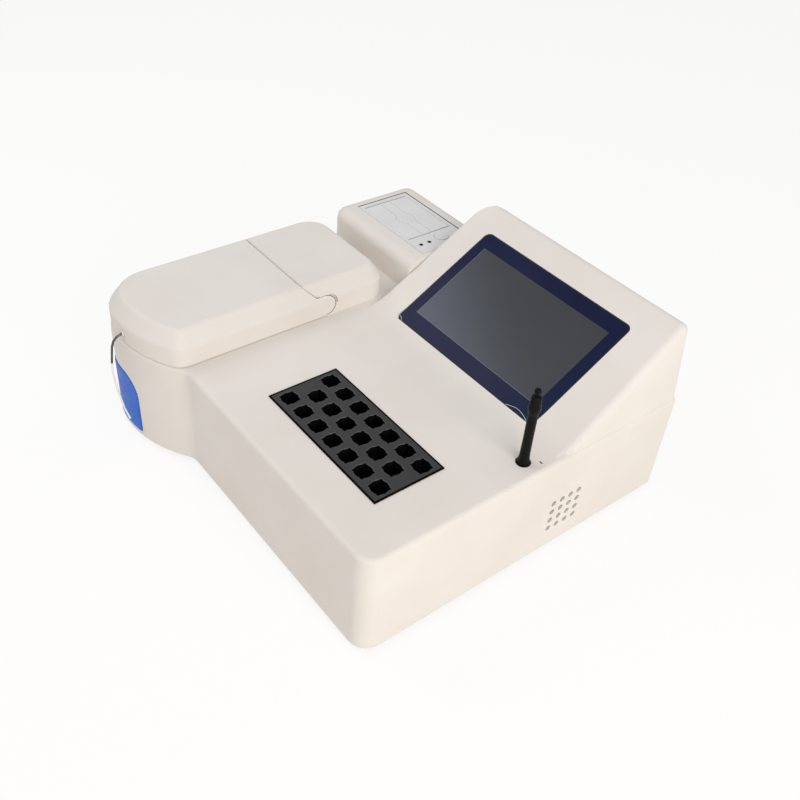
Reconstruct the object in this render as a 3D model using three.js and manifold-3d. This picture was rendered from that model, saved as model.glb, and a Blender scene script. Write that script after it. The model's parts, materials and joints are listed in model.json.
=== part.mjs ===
// Semi-automatic biochemistry analyzer for the bench, in millimetres with +Z up and the user at -Y.
// The origin is the middle of the footprint, on the bench top.
import * as THREE from 'three';
import { mergeVertices } from 'three/addons/utils/BufferGeometryUtils.js';
import Module from 'manifold-3d';

const wasm = await Module();
wasm.setup();

const degrees = THREE.MathUtils.degToRad;
const quarter = Math.PI / 2;

// Overall sizes
const bodyWidth = 372;
const bodyDepth = 351;
const needleReach = 13;
const rearReach = 4;
const footStand = 4;
const deckHeight = 98;
const wall = 3;

// Clearances
const fitGap = 0.3;
const seamGap = 0.9;
const overrun = 2;
const leastEdge = 0.02;

const leftX = -bodyWidth / 2;
const rightX = bodyWidth / 2;
const rearY = (bodyDepth + needleReach - rearReach) / 2;
const apexY = rearY - bodyDepth;
const bottomZ = footStand;
const deckZ = footStand + deckHeight;
const ceilingZ = deckZ - wall;

// Facets of round forms
const roundSteps = 20;
const smallSteps = 12;
const cornerSteps = 5;
const noseSteps = 16;
const creaseSteps = 3;

// Housing: the rounded nose at the left stands ahead of the deck's front wall
const nose = { lead: 26, radius: 115, inset: 48, cornerRadius: 43, rootRadius: 18 };
const deck = { frontCornerRadius: 16, rearCornerRadius: 5, edgeRadius: 4 };
const noseCentreX = leftX + nose.inset;
const noseCentreY = apexY + nose.radius;
const frontY = apexY + nose.lead;
const rootY = frontY - nose.rootRadius;
const rootX = noseCentreX + Math.sqrt((nose.radius + nose.rootRadius) ** 2 - (rootY - noseCentreY) ** 2);
const rootAngle = Math.atan2(rootY - noseCentreY, rootX - noseCentreX);

// The hump: the lid is its front part, and its rear part is moulded on the housing
const hump = {
  inset: 1,
  width: 116,
  length: 235,
  skirt: 18,
  chamferRun: 10,
  chamferRise: 13.5,
  frontRadius: 16,
  rearRightRadius: 18,
  rearLeftRadius: 29,
  creaseRadius: 5,
  sideWall: 9,
};
const humpLeftX = leftX + hump.inset;
const humpRightX = humpLeftX + hump.width;
const humpMiddleX = (humpLeftX + humpRightX) / 2;
const humpRearY = apexY + hump.inset + hump.length;
const humpTopZ = deckZ + hump.skirt + hump.chamferRise;

// Lid and its hinge, whose axis runs along X through both ears
const lid = {
  wall: 2,
  rear: 89,
  axisDrop: 20.4,
  axisBack: 20.6,
  earRadius: 9.3,
  earRise: 9.5,
  edgeThickness: 1,
  grooveDepth: 1.2,
  stubRadius: 3,
  stubLength: 5,
  openAngle: degrees(62),
};
const jointY = humpRearY - lid.rear;
const hingeY = jointY + lid.axisBack;
const hingeZ = humpTopZ - lid.axisDrop;

// Printer housing and its panel
const printerHousing = { width: 150, depth: 97, height: 31.5, edgeRadius: 11, cornerRadius: 12, roof: 5 };
const panel = { width: 104.7, depth: 60.4, left: 14, rear: 16.5, thickness: 2, recess: 0.6, ledge: 3 };
const printerFrontY = rearY - printerHousing.depth;
const printerTopZ = deckZ + printerHousing.height;
const panelLeftX = leftX + panel.left;
const panelRightX = panelLeftX + panel.width;
const panelRearY = rearY - panel.rear;
const panelFrontY = panelRearY - panel.depth;
const panelTopZ = printerTopZ - panel.recess;
const panelUnderZ = panelTopZ - panel.thickness;

// Screen wedge, whose right wall leans in
const wedge = {
  left: 123.6,
  rightInset: 2,
  height: 73.95,
  topSetback: -0.7,
  slopeAngle: degrees(29.1),
  footRadius: 70,
  footLap: 12,
  root: 16,
  edgeRadius: 6,
  leftEdgeRadius: 2.5,
  topRadius: 6.2,
  rearLeftRadius: 28,
  draft: 0.115,
};
const wedgeLeftX = leftX + wedge.left;
const wedgeRightX = rightX - wedge.rightInset;
const wedgeTopY = rearY - wedge.topSetback;
const wedgeTopZ = deckZ + wedge.height;
const wedgeFootY = wedgeTopY - wedge.height / Math.tan(wedge.slopeAngle);
const wedgeRootZ = deckZ - wedge.root;

// Screen, measured down the slope from its top edge
const glass = {
  width: 176.5,
  height: 117.6,
  thickness: 1.8,
  recess: 0.2,
  top: 34.05,
  centre: 240.6,
  cornerRadius: 6,
};
const lcd = { width: 160, height: 100, thickness: 6, ledge: 7 };
const bracket = { rim: 9, frame: 3, sheet: 1.2 };
const glassX = leftX + glass.centre;
const glassMiddle = -(glass.top + glass.height / 2);

// Incubator
const incubator = {
  width: 142,
  depth: 65,
  height: 41,
  proud: 0.8,
  left: 184.8,
  front: 39.6,
  pitch: 20,
  rowPitch: 19.8,
  wellSquare: 12.8,
  wellRadius: 7.3,
  wellDepth: 34,
  rowCounts: [7, 6, 7],
  edgeRadius: 1,
  heaterThickness: 1,
  cradleWall: 6,
};
const incubatorX = leftX + incubator.left + incubator.width / 2;
const incubatorY = frontY + incubator.front + incubator.depth / 2;
const incubatorTopZ = deckZ + incubator.proud;
const incubatorBottomZ = incubatorTopZ - incubator.height;

// Stylus and its socket
const socket = {
  right: 16.9,
  front: 159.8,
  flangeRadius: 6.2,
  flangeThickness: 0.8,
  sleeveRadius: 4.8,
  boreRadius: 3.6,
  depth: 42,
  floor: 2,
};
const stylus = {
  height: 72.2,
  ballRadius: 2.75,
  neckRadius: 2,
  neckLength: 2,
  shoulderRadius: 4.15,
  shoulderHeight: 6,
  collarRadius: 4.95,
  collarHeight: 3,
  collarTaper: 4,
  gripRadius: 3.85,
  gripHeight: 49,
  baseRadius: 5.1,
  baseHeight: 1.6,
  baseTaper: 10,
  tangRadius: 3.1,
  tangLength: 34,
  tipRadius: 0.8,
  tipLength: 5,
};
const socketX = rightX - socket.right;
const socketY = frontY + socket.front;
const socketTopZ = deckZ + socket.flangeThickness;

// Right wall: speaker and its holes, and a small microphone slot beside the socket
const speaker = {
  holes: 4,
  pitch: 9.6,
  holeRadius: 2.75,
  rear: 122.5,
  height: 35.5,
  rimRadius: 24,
  rimThickness: 2,
  coneRadius: 20,
  coneDepth: 10,
  magnetRadius: 12,
  magnetDepth: 8,
};
const micSlot = { right: 8.7, front: 171, length: 3, width: 1.2 };
const speakerY = rearY - speaker.rear;
const speakerZ = bottomZ + speaker.height;

// Needle at the nose, and the holder that carries it on the deck
const needle = {
  offset: 10,
  height: 9.2,
  radius: 1.05,
  bendRadius: 11,
  bendSetback: 1.6,
  dropLength: 16.3,
};
const needleBend = degrees(82);
const holder = { width: 9, depth: 6, setback: 9, sleeveRadius: 2.4, boreGap: 0.55, notchGap: 0.6, cap: 3 };
const needleX = noseCentreX + needle.offset;
const needleZ = deckZ + needle.height;
const needleBendY = apexY + needle.bendSetback;
const holderY = apexY + holder.setback;

// The free suction tube on the needle's tip, as [x, y, z] points from the tip down
const tube = { radius: 0.9, sides: 8, steps: 24 };
const tubeRoute = [
  [-127.7, -182.7, 84.9],
  [-127.8, -182.9, 80.7],
  [-127.8, -183, 76.5],
  [-128, -182.9, 72.3],
  [-128.2, -182.6, 68.1],
  [-128.3, -182.2, 63.9],
  [-128.5, -181.7, 59.7],
  [-128.7, -181.2, 55.5],
  [-128.9, -180.6, 51.4],
  [-128.8, -180, 47.2],
  [-128.3, -179.5, 43],
  [-127.6, -179.1, 38.9],
  [-126.7, -178.6, 34.8],
  [-125.7, -177.8, 30.8],
  [-124.4, -176.9, 26.9],
  [-123.1, -176, 23],
];

// Suction key in the nose, turning on a pin near its lower edge
const key = {
  width: 57,
  height: 58,
  left: 41,
  lift: 5,
  cornerRadius: 20,
  footRadius: 2,
  proud: 0.8,
  thickness: 3.5,
  gap: 0.8,
  pinBack: 11,
  pinHeight: 9,
  pinRadius: 1.5,
  lugWidth: 24,
  lugRadius: 3.6,
  earGap: 4,
  earDepth: 5.4,
  travel: degrees(3),
};
const keyX = leftX + key.left;
const keyBottomZ = bottomZ + key.lift;
const keyPinY = apexY + key.pinBack;
const keyPinZ = bottomZ + key.pinHeight;
const keySwitch = {
  width: 16,
  depth: 12,
  height: 10,
  drop: 14,
  plunger: 3,
  plungerRadius: 1.5,
  post: 8,
  foot: 14,
};

// Flow-cell tray, let into the deck under the lid
const tray = {
  left: 14,
  front: 30,
  width: 92,
  length: 106,
  depth: 42,
  wall: 2,
  flange: 4,
  flangeThickness: 1.2,
  cornerRadius: 5,
  beamRadius: 4,
  beamHeight: 16,
};
const trayX = leftX + tray.left + tray.width / 2;
const trayFrontY = apexY + tray.front;
const trayRearY = trayFrontY + tray.length;
const trayBottomZ = deckZ - tray.depth;
const trayFloorZ = trayBottomZ + tray.wall;
const beamZ = trayFloorZ + tray.beamHeight;

// Flow cell in its block
const cell = {
  blockWidth: 40,
  blockDepth: 46,
  blockHeight: 32,
  blockFront: 16,
  width: 12.4,
  seat: 6,
  capWidth: 18,
  capHeight: 22,
  beamRadius: 2.5,
  nippleRadius: 2,
  nippleLength: 5,
  outletDrop: 8,
  clampRadius: 4,
  clampHeight: 5,
};
const blockFrontY = trayFrontY + cell.blockFront;
const blockTopZ = trayFloorZ + cell.blockHeight;
const cellY = blockFrontY + cell.blockDepth / 2;
const cellTopZ = blockTopZ + cell.capHeight;

// Roller pump behind the cell
const pump = {
  radius: 15.5,
  boreRadius: 13.7,
  baseThickness: 3,
  height: 18,
  centreLeft: 25,
  centreRear: 22,
  rotorRadius: 8,
  shoeRadius: 2.8,
  shoeCount: 3,
  slotWidth: 3.4,
  motorRadius: 12,
  motorLength: 32,
  shaftRadius: 1.5,
};
const pumpX = leftX + tray.left + pump.centreLeft;
const pumpY = trayRearY - pump.centreRear;
const pumpTubeZ = trayFloorZ + pump.baseThickness + (pump.height - pump.baseThickness) / 2;
const cellTube = { radius: 1.1, sides: 6, steps: 36, lift: 8, exit: 5 };

// Lamp and filters behind the tray
const lamp = { width: 44, depth: 50, height: 92, gap: 40, fins: 6, finDepth: 9, finShare: 0.5 };
const filters = {
  wheelRadius: 19.5,
  thickness: 3,
  holes: 8,
  holeRadius: 3.8,
  circleRadius: 14,
  gap: 6,
  shaftRadius: 2,
  motorRadius: 9,
  motorLength: 20,
  postWidth: 22,
  postThickness: 3,
};
const detector = { width: 30, height: 30, depth: 9 };
const lampFrontY = trayRearY + lamp.gap;

// Base plate, feet and screws
const base = { thickness: 1.5, lift: 0.6, margin: 0.5 };
const foot = { radius: 9, flare: 1.5, inset: 34 };
const screw = {
  boss: 5,
  bossHeight: 40,
  inset: 7.5,
  setback: 26,
  radius: 1.25,
  length: 9,
  headRadius: 3,
  headHeight: 1.8,
  pilotDepth: 14,
};
const plateBottomZ = bottomZ + base.lift;
const plateTopZ = plateBottomZ + base.thickness;

// Printer parts
const printer = {
  stripWidth: 26,
  bayWall: 1.5,
  bayDepth: 42,
  stripDepth: 16,
  doorMargin: 3,
  doorEdge: 0.3,
  knuckleRadius: 1.6,
  stubRadius: 0.8,
  stubLength: 1.5,
  openAngle: degrees(95),
  paperRadius: 17,
  paperWidth: 44,
  coreRadius: 6,
  platenRadius: 4.5,
  platenDrop: 7,
  platenInset: 8,
  platenPin: 1.5,
  tabThickness: 1.2,
};
const button = {
  radius: 7,
  flange: 1,
  flangeThickness: 1.5,
  height: 5,
  proud: 0.8,
  travel: 1.2,
  left: 101.6,
  rear: 40.5,
};
const statusLamp = { radius: 1.8, proud: 0.4, height: 4, flange: 0.7, left: 103.9, rear: 57.2, pitch: 10 };

// Electronics, fan and rear connectors
const board = {
  width: 150,
  depth: 96,
  thickness: 1.6,
  stand: 12,
  standRadius: 3.5,
  inset: 6,
  left: 166,
  rear: 205,
  capacitors: 5,
  capacitorPitch: 10.5,
};

// The board's tall parts as shares of its sheet: middle across, middle back, width and depth
const boardParts = [
  [0.22, 0.3, 0.14, 0.2],
  [0.5, 0.32, 0.2, 0.3],
  [0.2, 0.75, 0.2, 0.14],
  [0.75, 0.2, 0.12, 0.12],
];
const supply = {
  width: 98,
  depth: 60,
  height: 38,
  right: 14,
  rear: 26,
  vents: 8,
  ventDepth: 1.5,
  ventShare: 0.5,
};
const fan = {
  size: 60,
  depth: 15,
  boreRadius: 28,
  hubRadius: 11,
  shaftRadius: 2,
  strutWidth: 4,
  strutThickness: 2,
  blades: 7,
  bladeThickness: 1.6,
  bladeAngle: degrees(38),
  left: 222,
  height: 50,
  slots: 7,
  slotWidth: 4,
  slotPitch: 7.4,
  slotLength: 50,
};
const fanX = leftX + fan.left;
const fanZ = bottomZ + fan.height;
const fanDepthY = rearY - wall - fan.depth;
const fanMiddleY = fanDepthY + (fan.depth + fan.strutThickness) / 2;
const portZ = bottomZ + 30;

const ports = {
  inlet: {
    left: 306,
    width: 27,
    height: 20,
    flange: 3,
    thickness: 2,
    depth: 20,
    mouth: 3,
    mouthDepth: 16,
    pin: 2.2,
  },
  rocker: {
    left: 268,
    width: 20,
    height: 14,
    flange: 2,
    thickness: 1.5,
    depth: 16,
    wall: 1.5,
    tilt: degrees(8),
  },
  serial: { left: 150, width: 18, height: 8.5, flange: 6, thickness: 1, depth: 10, shell: 3, wall: 1 },
  usb: { left: 112, width: 13, height: 6, flange: 2, thickness: 1, depth: 14, shell: 0.6, wall: 1.2 },
};
const waste = {
  left: 60,
  radius: 3,
  boreRadius: 1.4,
  length: 15,
  nutRadius: 6,
  nutThickness: 2,
  barb: 0.7,
  reach: 3.6,
};

// Finishes
const finish = (color, roughness, metalness = 0) =>
  new THREE.MeshStandardMaterial({ color, roughness, metalness });
const creamPlastic = finish(0xe6ddd0, 0.55);
const keyBlue = finish(0x3d6fc0, 0.4);
const blackAluminium = finish(0x1d1d1e, 0.5, 0.4);
const blackPlastic = finish(0x161716, 0.45);
const darkGlass = finish(0x1c1f42, 0.12);
const lcdGrey = finish(0x4c545a, 0.3);
const steel = finish(0x9a9a98, 0.3, 1);
const zincSheet = finish(0xa9abac, 0.45, 0.9);
const whiteTube = finish(0xf0efea, 0.4);
const clearTube = finish(0xd8ddd8, 0.3);
const panelGrey = finish(0xd0d1d0, 0.5);
const rubberBlack = finish(0x202020, 0.85);
const boardGreen = finish(0x1f5a3a, 0.6);
const amberFilm = finish(0x9c5a24, 0.5);
const foamWhite = finish(0xe8e8e4, 0.9);
const paperWhite = finish(0xf4f3ee, 0.8);
const castAluminium = finish(0xb4b6b8, 0.4, 0.9);
const filterGlass = finish(0x5a4a70, 0.15);

// A closed three.js geometry as a solid that can be joined and cut
function solidOf(geometry) {
  const loose = geometry.index ? geometry.toNonIndexed() : geometry;
  const bare = new THREE.BufferGeometry().setAttribute('position', loose.getAttribute('position'));
  const merged = mergeVertices(bare);
  const vertProperties = new Float32Array(merged.attributes.position.array);
  const triVerts = new Uint32Array(merged.index.array);
  const solid = new wasm.Manifold(new wasm.Mesh({ numProp: 3, vertProperties, triVerts }));
  if (solid.volume() > 0) return solid;
  for (let i = 0; i < triVerts.length; i += 3) triVerts.subarray(i, i + 2).reverse();
  return new wasm.Manifold(new wasm.Mesh({ numProp: 3, vertProperties, triVerts }));
}

function geometryOf(solid) {
  const mesh = solid.getMesh();
  const geometry = new THREE.BufferGeometry();
  geometry.setAttribute('position', new THREE.BufferAttribute(new Float32Array(mesh.vertProperties), 3));
  geometry.setIndex(new THREE.BufferAttribute(new Uint32Array(mesh.triVerts), 1));
  const flat = geometry.toNonIndexed();
  flat.computeVertexNormals();
  return flat;
}

function joinAll(solids) {
  return solids.reduce((sum, next) => sum.add(next));
}

function cutAll(solid, tools) {
  return tools.reduce((left, tool) => left.subtract(tool), solid);
}

function placed(solid, matrix) {
  return solidOf(geometryOf(solid).applyMatrix4(matrix));
}

// The span of a given length about a middle
function about(middle, length) {
  return [middle - length / 2, middle + length / 2];
}

function box([x0, x1], [y0, y1], [z0, z1]) {
  const geometry = new THREE.BoxGeometry(x1 - x0, y1 - y0, z1 - z0);
  return solidOf(geometry.translate((x0 + x1) / 2, (y0 + y1) / 2, (z0 + z1) / 2));
}

function arcPoints([u, v], radius, from, to, steps) {
  return Array.from({ length: steps + 1 }, (_, i) => {
    const angle = from + ((to - from) * i) / steps;
    return [u + radius * Math.cos(angle), v + radius * Math.sin(angle)];
  });
}

function shapeOf(points) {
  const kept = points.filter(([u, v], i) => {
    const [u0, v0] = points[(i + points.length - 1) % points.length];
    return Math.hypot(u - u0, v - v0) > leastEdge;
  });
  return new THREE.Shape(kept.map(([u, v]) => new THREE.Vector2(u, v)));
}

// A closed outline through [u, v, radius] corners listed anticlockwise, moved inward by the inset
function outline(corners, inset = 0, steps = cornerSteps) {
  const points = corners.flatMap(([u, v, radius = 0], i) => {
    const [u0, v0] = corners[(i + corners.length - 1) % corners.length];
    const [u1, v1] = corners[(i + 1) % corners.length];
    const into = Math.atan2(v - v0, u - u0);
    const onward = Math.atan2(v1 - v, u1 - u);
    const turn = THREE.MathUtils.euclideanModulo(onward - into + Math.PI, Math.PI * 2) - Math.PI;
    const side = Math.sign(turn);
    const bend = radius > 0 ? Math.max(radius - side * inset, 0) : 0;
    const normal = into + turn / 2 + quarter;
    const reach = (inset + side * bend) / Math.cos(turn / 2);
    const centre = [u + reach * Math.cos(normal), v + reach * Math.sin(normal)];
    if (bend === 0) return [centre];
    return arcPoints(centre, bend, into - side * quarter, into - side * quarter + turn, steps);
  });
  return shapeOf(points);
}

function rectangle([u0, u1], [v0, v1], radius = 0) {
  return outline([[u0, v0, radius], [u1, v0, radius], [u1, v1, radius], [u0, v1, radius]]);
}

function extrusion(shape, length, bevel) {
  const bevelled = bevel.run > 0;
  return new THREE.ExtrudeGeometry(shape, {
    depth: length - 2 * bevel.rise,
    bevelEnabled: bevelled,
    bevelThickness: bevel.rise,
    bevelSize: bevel.run,
    bevelOffset: -bevel.run,
    bevelSegments: bevel.steps,
  }).translate(0, 0, bevel.rise);
}

const noBevel = { run: 0, rise: 0, steps: 1 };

function roundEdge(radius, steps = cornerSteps - 1) {
  return { run: radius, rise: radius, steps };
}

// Extrudes an outline up from z0 to z1, with only its top edge bevelled
function prism(shape, z0, z1, bevel = noBevel) {
  const buried = 2 * bevel.rise;
  const solid = solidOf(extrusion(shape, z1 - z0 + buried, bevel).translate(0, 0, z0 - buried));
  if (buried === 0) return solid;
  const { min, max } = solid.boundingBox();
  const below = [min[2] - overrun, z0];
  const spanX = [min[0] - overrun, max[0] + overrun];
  const spanY = [min[1] - overrun, max[1] + overrun];
  return solid.subtract(box(spanX, spanY, below));
}

// Extrudes a profile drawn in the Y and Z directions along X, with both ends bevelled
function alongX(shape, x0, x1, bevel = noBevel) {
  const turn = new THREE.Matrix4().makeBasis(
    new THREE.Vector3(0, 1, 0),
    new THREE.Vector3(0, 0, 1),
    new THREE.Vector3(1, 0, 0),
  );
  return extrusion(shape, x1 - x0, bevel).applyMatrix4(turn).translate(x0, 0, 0);
}

// Extrudes a profile drawn in the X and Z directions along Y, with both ends bevelled
function alongY(shape, y0, y1, bevel = noBevel) {
  return solidOf(extrusion(shape, y1 - y0, bevel).rotateX(quarter).translate(0, y1, 0));
}

// A round bar from one place to another along an axis, about the centre's two other coordinates
function rod(axis, [u, v], radius, from, to, steps = roundSteps, endRadius = radius) {
  const geometry = new THREE.CylinderGeometry(endRadius, radius, to - from, steps);
  const middle = (from + to) / 2;
  if (axis === 'x') geometry.rotateZ(-quarter).translate(middle, u, v);
  if (axis === 'y') geometry.translate(u, middle, v);
  if (axis === 'z') geometry.rotateX(quarter).translate(u, v, middle);
  return solidOf(geometry);
}

// Turns a profile of [radius, height] pairs, which starts and ends on the Z axis
function turned(profile, steps = roundSteps) {
  const points = profile.map(([radius, height]) => new THREE.Vector2(radius, height));
  return solidOf(new THREE.LatheGeometry(points, steps).rotateX(quarter));
}

// A bent bar of round section through the given points
function pipe(points, radius, sides, steps) {
  const places = points.map((point) => new THREE.Vector3(...point));
  const path = new THREE.CatmullRomCurve3(places, false, 'centripetal');
  const section = shapeOf(arcPoints([0, 0], radius, 0, Math.PI * 2 * (1 - 1 / sides), sides - 1));
  return solidOf(new THREE.ExtrudeGeometry(section, { steps, bevelEnabled: false, extrudePath: path }));
}

function moved(solid, x, y, z) {
  return placed(solid, new THREE.Matrix4().makeTranslation(x, y, z));
}

function turnedAbout(solid, axis, angle) {
  return placed(solid, new THREE.Matrix4().makeRotationAxis(axis, angle));
}

const xAxis = new THREE.Vector3(1, 0, 0);
const yAxis = new THREE.Vector3(0, 1, 0);

// The nose's outline from the left wall round to the right: a corner arc and the long front arc
function nosePoints(inset, endAngle) {
  const cornerX = leftX + nose.cornerRadius;
  const reach = nose.radius - nose.cornerRadius;
  const meet = -Math.acos((cornerX - noseCentreX) / reach);
  const cornerY = noseCentreY + reach * Math.sin(meet);
  return [
    ...arcPoints([cornerX, cornerY], nose.cornerRadius - inset, -Math.PI, meet, cornerSteps + 2),
    ...arcPoints([noseCentreX, noseCentreY], nose.radius - inset, meet, endAngle, noseSteps),
  ];
}

// The case's outline: the nose runs into the deck's front wall in a hollow curve
function caseOutline(inset) {
  const rear = rearY - inset;
  const right = rightX - inset;
  const front = frontY + inset;
  const rearCorner = Math.max(deck.rearCornerRadius - inset, 0);
  const frontCorner = deck.frontCornerRadius - inset;
  const rearSteps = rearCorner > 0 ? cornerSteps : 0;
  return shapeOf([
    ...arcPoints([leftX + inset + rearCorner, rear - rearCorner], rearCorner, quarter, Math.PI, rearSteps),
    ...nosePoints(inset, rootAngle),
    ...arcPoints([rootX, rootY], nose.rootRadius + inset, rootAngle + Math.PI, quarter, cornerSteps),
    ...arcPoints([right - frontCorner, front + frontCorner], frontCorner, -quarter, 0, cornerSteps),
    ...arcPoints([right - rearCorner, rear - rearCorner], rearCorner, 0, quarter, rearSteps),
  ]);
}

function humpPoints(inset) {
  const rear = humpRearY;
  const frontX = humpRightX - hump.frontRadius;
  const leftCentre = [humpLeftX + hump.rearLeftRadius, rear - hump.rearLeftRadius];
  const rightCentre = [humpRightX - hump.rearRightRadius, rear - hump.rearRightRadius];
  const reach = nose.radius - hump.inset - hump.frontRadius;
  const meet = -Math.acos((frontX - noseCentreX) / reach);
  const frontCentre = [frontX, noseCentreY + reach * Math.sin(meet)];
  return [
    ...arcPoints(leftCentre, hump.rearLeftRadius - inset, quarter, Math.PI, cornerSteps + 2),
    ...nosePoints(hump.inset + inset, meet).slice(0, -1),
    ...arcPoints(frontCentre, hump.frontRadius - inset, meet, 0, cornerSteps),
    ...arcPoints(rightCentre, hump.rearRightRadius - inset, 0, quarter, cornerSteps),
  ];
}

// A solid through rings of an outline's points, one ring for each [inset, height] of the profile
function lofted(pointsAt, profile) {
  const rings = profile.map(([inset, z]) => pointsAt(inset).map(([u, v]) => [u, v, z]));
  const count = rings[0].length;
  const vertices = rings.flat();
  const flat = rings[0].map(([u, v]) => new THREE.Vector2(u, v));
  const cap = THREE.ShapeUtils.triangulateShape(flat, []);
  const last = (rings.length - 1) * count;
  const faces = [
    ...cap.map(([a, b, c]) => [a, c, b]),
    ...cap.map(([a, b, c]) => [a + last, b + last, c + last]),
  ];
  for (let ring = 0; ring < rings.length - 1; ring += 1) {
    for (let i = 0; i < count; i += 1) {
      const a = ring * count + i;
      const b = ring * count + ((i + 1) % count);
      faces.push([a, b, b + count], [a, b + count, a + count]);
    }
  }
  const geometry = new THREE.BufferGeometry();
  geometry.setAttribute('position', new THREE.Float32BufferAttribute(vertices.flat(), 3));
  geometry.setIndex(faces.flat());
  return solidOf(geometry);
}

// Two straight lines of a profile joined by an arc: from a point towards a corner and on to the next
function eased(from, corner, to, radius, steps) {
  const into = Math.atan2(corner[1] - from[1], corner[0] - from[0]);
  const onward = Math.atan2(to[1] - corner[1], to[0] - corner[0]);
  const turn = into - onward;
  const setback = radius * Math.tan(turn / 2);
  const start = [corner[0] - setback * Math.cos(into), corner[1] - setback * Math.sin(into)];
  const centre = [start[0] + radius * Math.sin(into), start[1] - radius * Math.cos(into)];
  return arcPoints(centre, radius, into + quarter, onward + quarter, steps);
}

// The full hump: skirt, sloped band and flat top, with eased creases
function humpSolid(bottom) {
  const skirtTop = [0, deckZ + hump.skirt];
  const bandTop = [hump.chamferRun, humpTopZ];
  const topEnd = [hump.chamferRun + hump.creaseRadius, humpTopZ];
  return lofted(humpPoints, [
    [0, bottom],
    ...eased([0, bottom], skirtTop, bandTop, hump.creaseRadius, creaseSteps),
    ...eased(skirtTop, bandTop, topEnd, hump.creaseRadius, creaseSteps),
  ]);
}

// The space under it, a wall's thickness in from every face
function humpHollow(bottom, thickness) {
  const steepness = hump.chamferRise / hump.chamferRun;
  const bandZ = deckZ + hump.skirt + thickness * (steepness - Math.hypot(1, steepness));
  const rise = humpTopZ - thickness - bandZ;
  const band = { run: rise / steepness, rise, steps: 1 };
  return prism(shapeOf(humpPoints(thickness)), bottom, humpTopZ - thickness, band);
}

// The barrel about the hinge axis that the lid's rear edge sweeps round
function hingeBarrel(clearance) {
  const topRadius = Math.hypot(lid.axisBack, lid.axisDrop - lid.edgeThickness) - clearance;
  const sideRadius = Math.SQRT2 * (lid.earRise - lid.edgeThickness) - clearance;
  const half = hump.width / 2 - lid.wall;
  const shoulder = hump.width / 2 - hump.chamferRun;
  const profile = [
    [0, -half],
    [sideRadius, -half],
    [topRadius, -shoulder],
    [topRadius, shoulder],
    [sideRadius, half],
    [0, half],
  ];
  const alongAxis = turnedAbout(turned(profile, roundSteps * 2), yAxis, quarter);
  return moved(alongAxis, humpMiddleX, hingeY, hingeZ);
}

// What belongs to the lid, seen from the side: all ahead of the joint, and the ears that reach back
function lidSide() {
  const low = deckZ + 2 * fitGap;
  const front = apexY - overrun;
  const top = humpTopZ + overrun;
  return shapeOf([
    [front, low],
    [hingeY, low],
    [hingeY, hingeZ - lid.earRadius],
    ...arcPoints([hingeY, hingeZ], lid.earRadius, -quarter, quarter, smallSteps),
    [hingeY, hingeZ + lid.earRise],
    [hingeY - lid.earRise, hingeZ + lid.earRise],
    [jointY, humpTopZ],
    [jointY, top],
    [front, top],
  ]);
}

// The needle's notch in the lid's front edge
function needleNotch(gap) {
  const half = holder.sleeveRadius + gap;
  const opening = outline([
    [needleX - half, deckZ - overrun],
    [needleX + half, deckZ - overrun],
    [needleX + half, needleZ + half, half],
    [needleX - half, needleZ + half, half],
  ]);
  return alongY(opening, apexY - overrun, apexY + nose.cornerRadius / 2);
}

function makeLid() {
  const shell = humpSolid(deckZ).subtract(humpHollow(deckZ - overrun, lid.wall));
  const side = solidOf(alongX(lidSide(), humpLeftX - overrun, humpRightX + overrun));
  const body = cutAll(shell.intersect(side), [hingeBarrel(0), needleNotch(holder.notchGap)]);
  const left = humpLeftX + lid.wall;
  const right = humpRightX - lid.wall;
  const axis = [hingeY, hingeZ];
  const half = lid.wall / 2;
  const leftStub = rod('x', axis, lid.stubRadius, left - half, left + lid.stubLength, smallSteps);
  const rightStub = rod('x', axis, lid.stubRadius, right - lid.stubLength, right + half, smallSteps);
  return joinAll([body, leftStub, rightStub]);
}

// The fixed rear part of the hump, with a pocket and a bore for each of the lid's ears
function humpBlock() {
  const wide = [humpLeftX - overrun, humpRightX + overrun];
  const rearZone = box(wide, [jointY + seamGap, rearY], [ceilingZ, printerTopZ + overrun]);
  const body = humpSolid(ceilingZ).intersect(rearZone);
  const frontZone = box(wide, [jointY - overrun, hingeY], [hingeZ, humpTopZ + overrun]);
  return body.subtract(frontZone.subtract(hingeBarrel(lid.grooveDepth)));
}

// An ear's pocket, seen from the side: its upper rear quarter clears the ear's shoulder as it swings
function earPocket() {
  const swing = lid.earRise / Math.cos(lid.openAngle / 2) + seamGap;
  const low = deckZ;
  const top = hingeZ + lid.earRise + fitGap;
  const front = jointY - overrun;
  return shapeOf([
    [front, low],
    [hingeY, low],
    ...arcPoints([hingeY, hingeZ], lid.earRadius + seamGap, -quarter, 0, smallSteps / 2),
    ...arcPoints([hingeY, hingeZ], swing, 0, quarter, smallSteps / 2),
    [hingeY, top + overrun],
    [front, top + overrun],
  ]);
}

function humpCuts() {
  const pocketDepth = lid.wall + fitGap;
  const stubSpan = pocketDepth + lid.stubLength + hump.sideWall;
  const bore = lid.stubRadius + fitGap;
  const axis = [hingeY, hingeZ];
  return [
    solidOf(alongX(earPocket(), humpLeftX - overrun, humpLeftX + pocketDepth)),
    solidOf(alongX(earPocket(), humpRightX - pocketDepth, humpRightX + overrun)),
    rod('x', axis, bore, humpLeftX - overrun, humpLeftX + stubSpan, smallSteps),
    rod('x', axis, bore, humpRightX - stubSpan, humpRightX + overrun, smallSteps),
  ];
}

function humpBlockHollow() {
  const inside = box(
    [humpLeftX + hump.sideWall, humpRightX - hump.sideWall],
    [jointY + wall, humpRearY],
    [ceilingZ - overrun, humpTopZ],
  );
  return humpHollow(ceilingZ - overrun, wall).intersect(inside);
}

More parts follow.
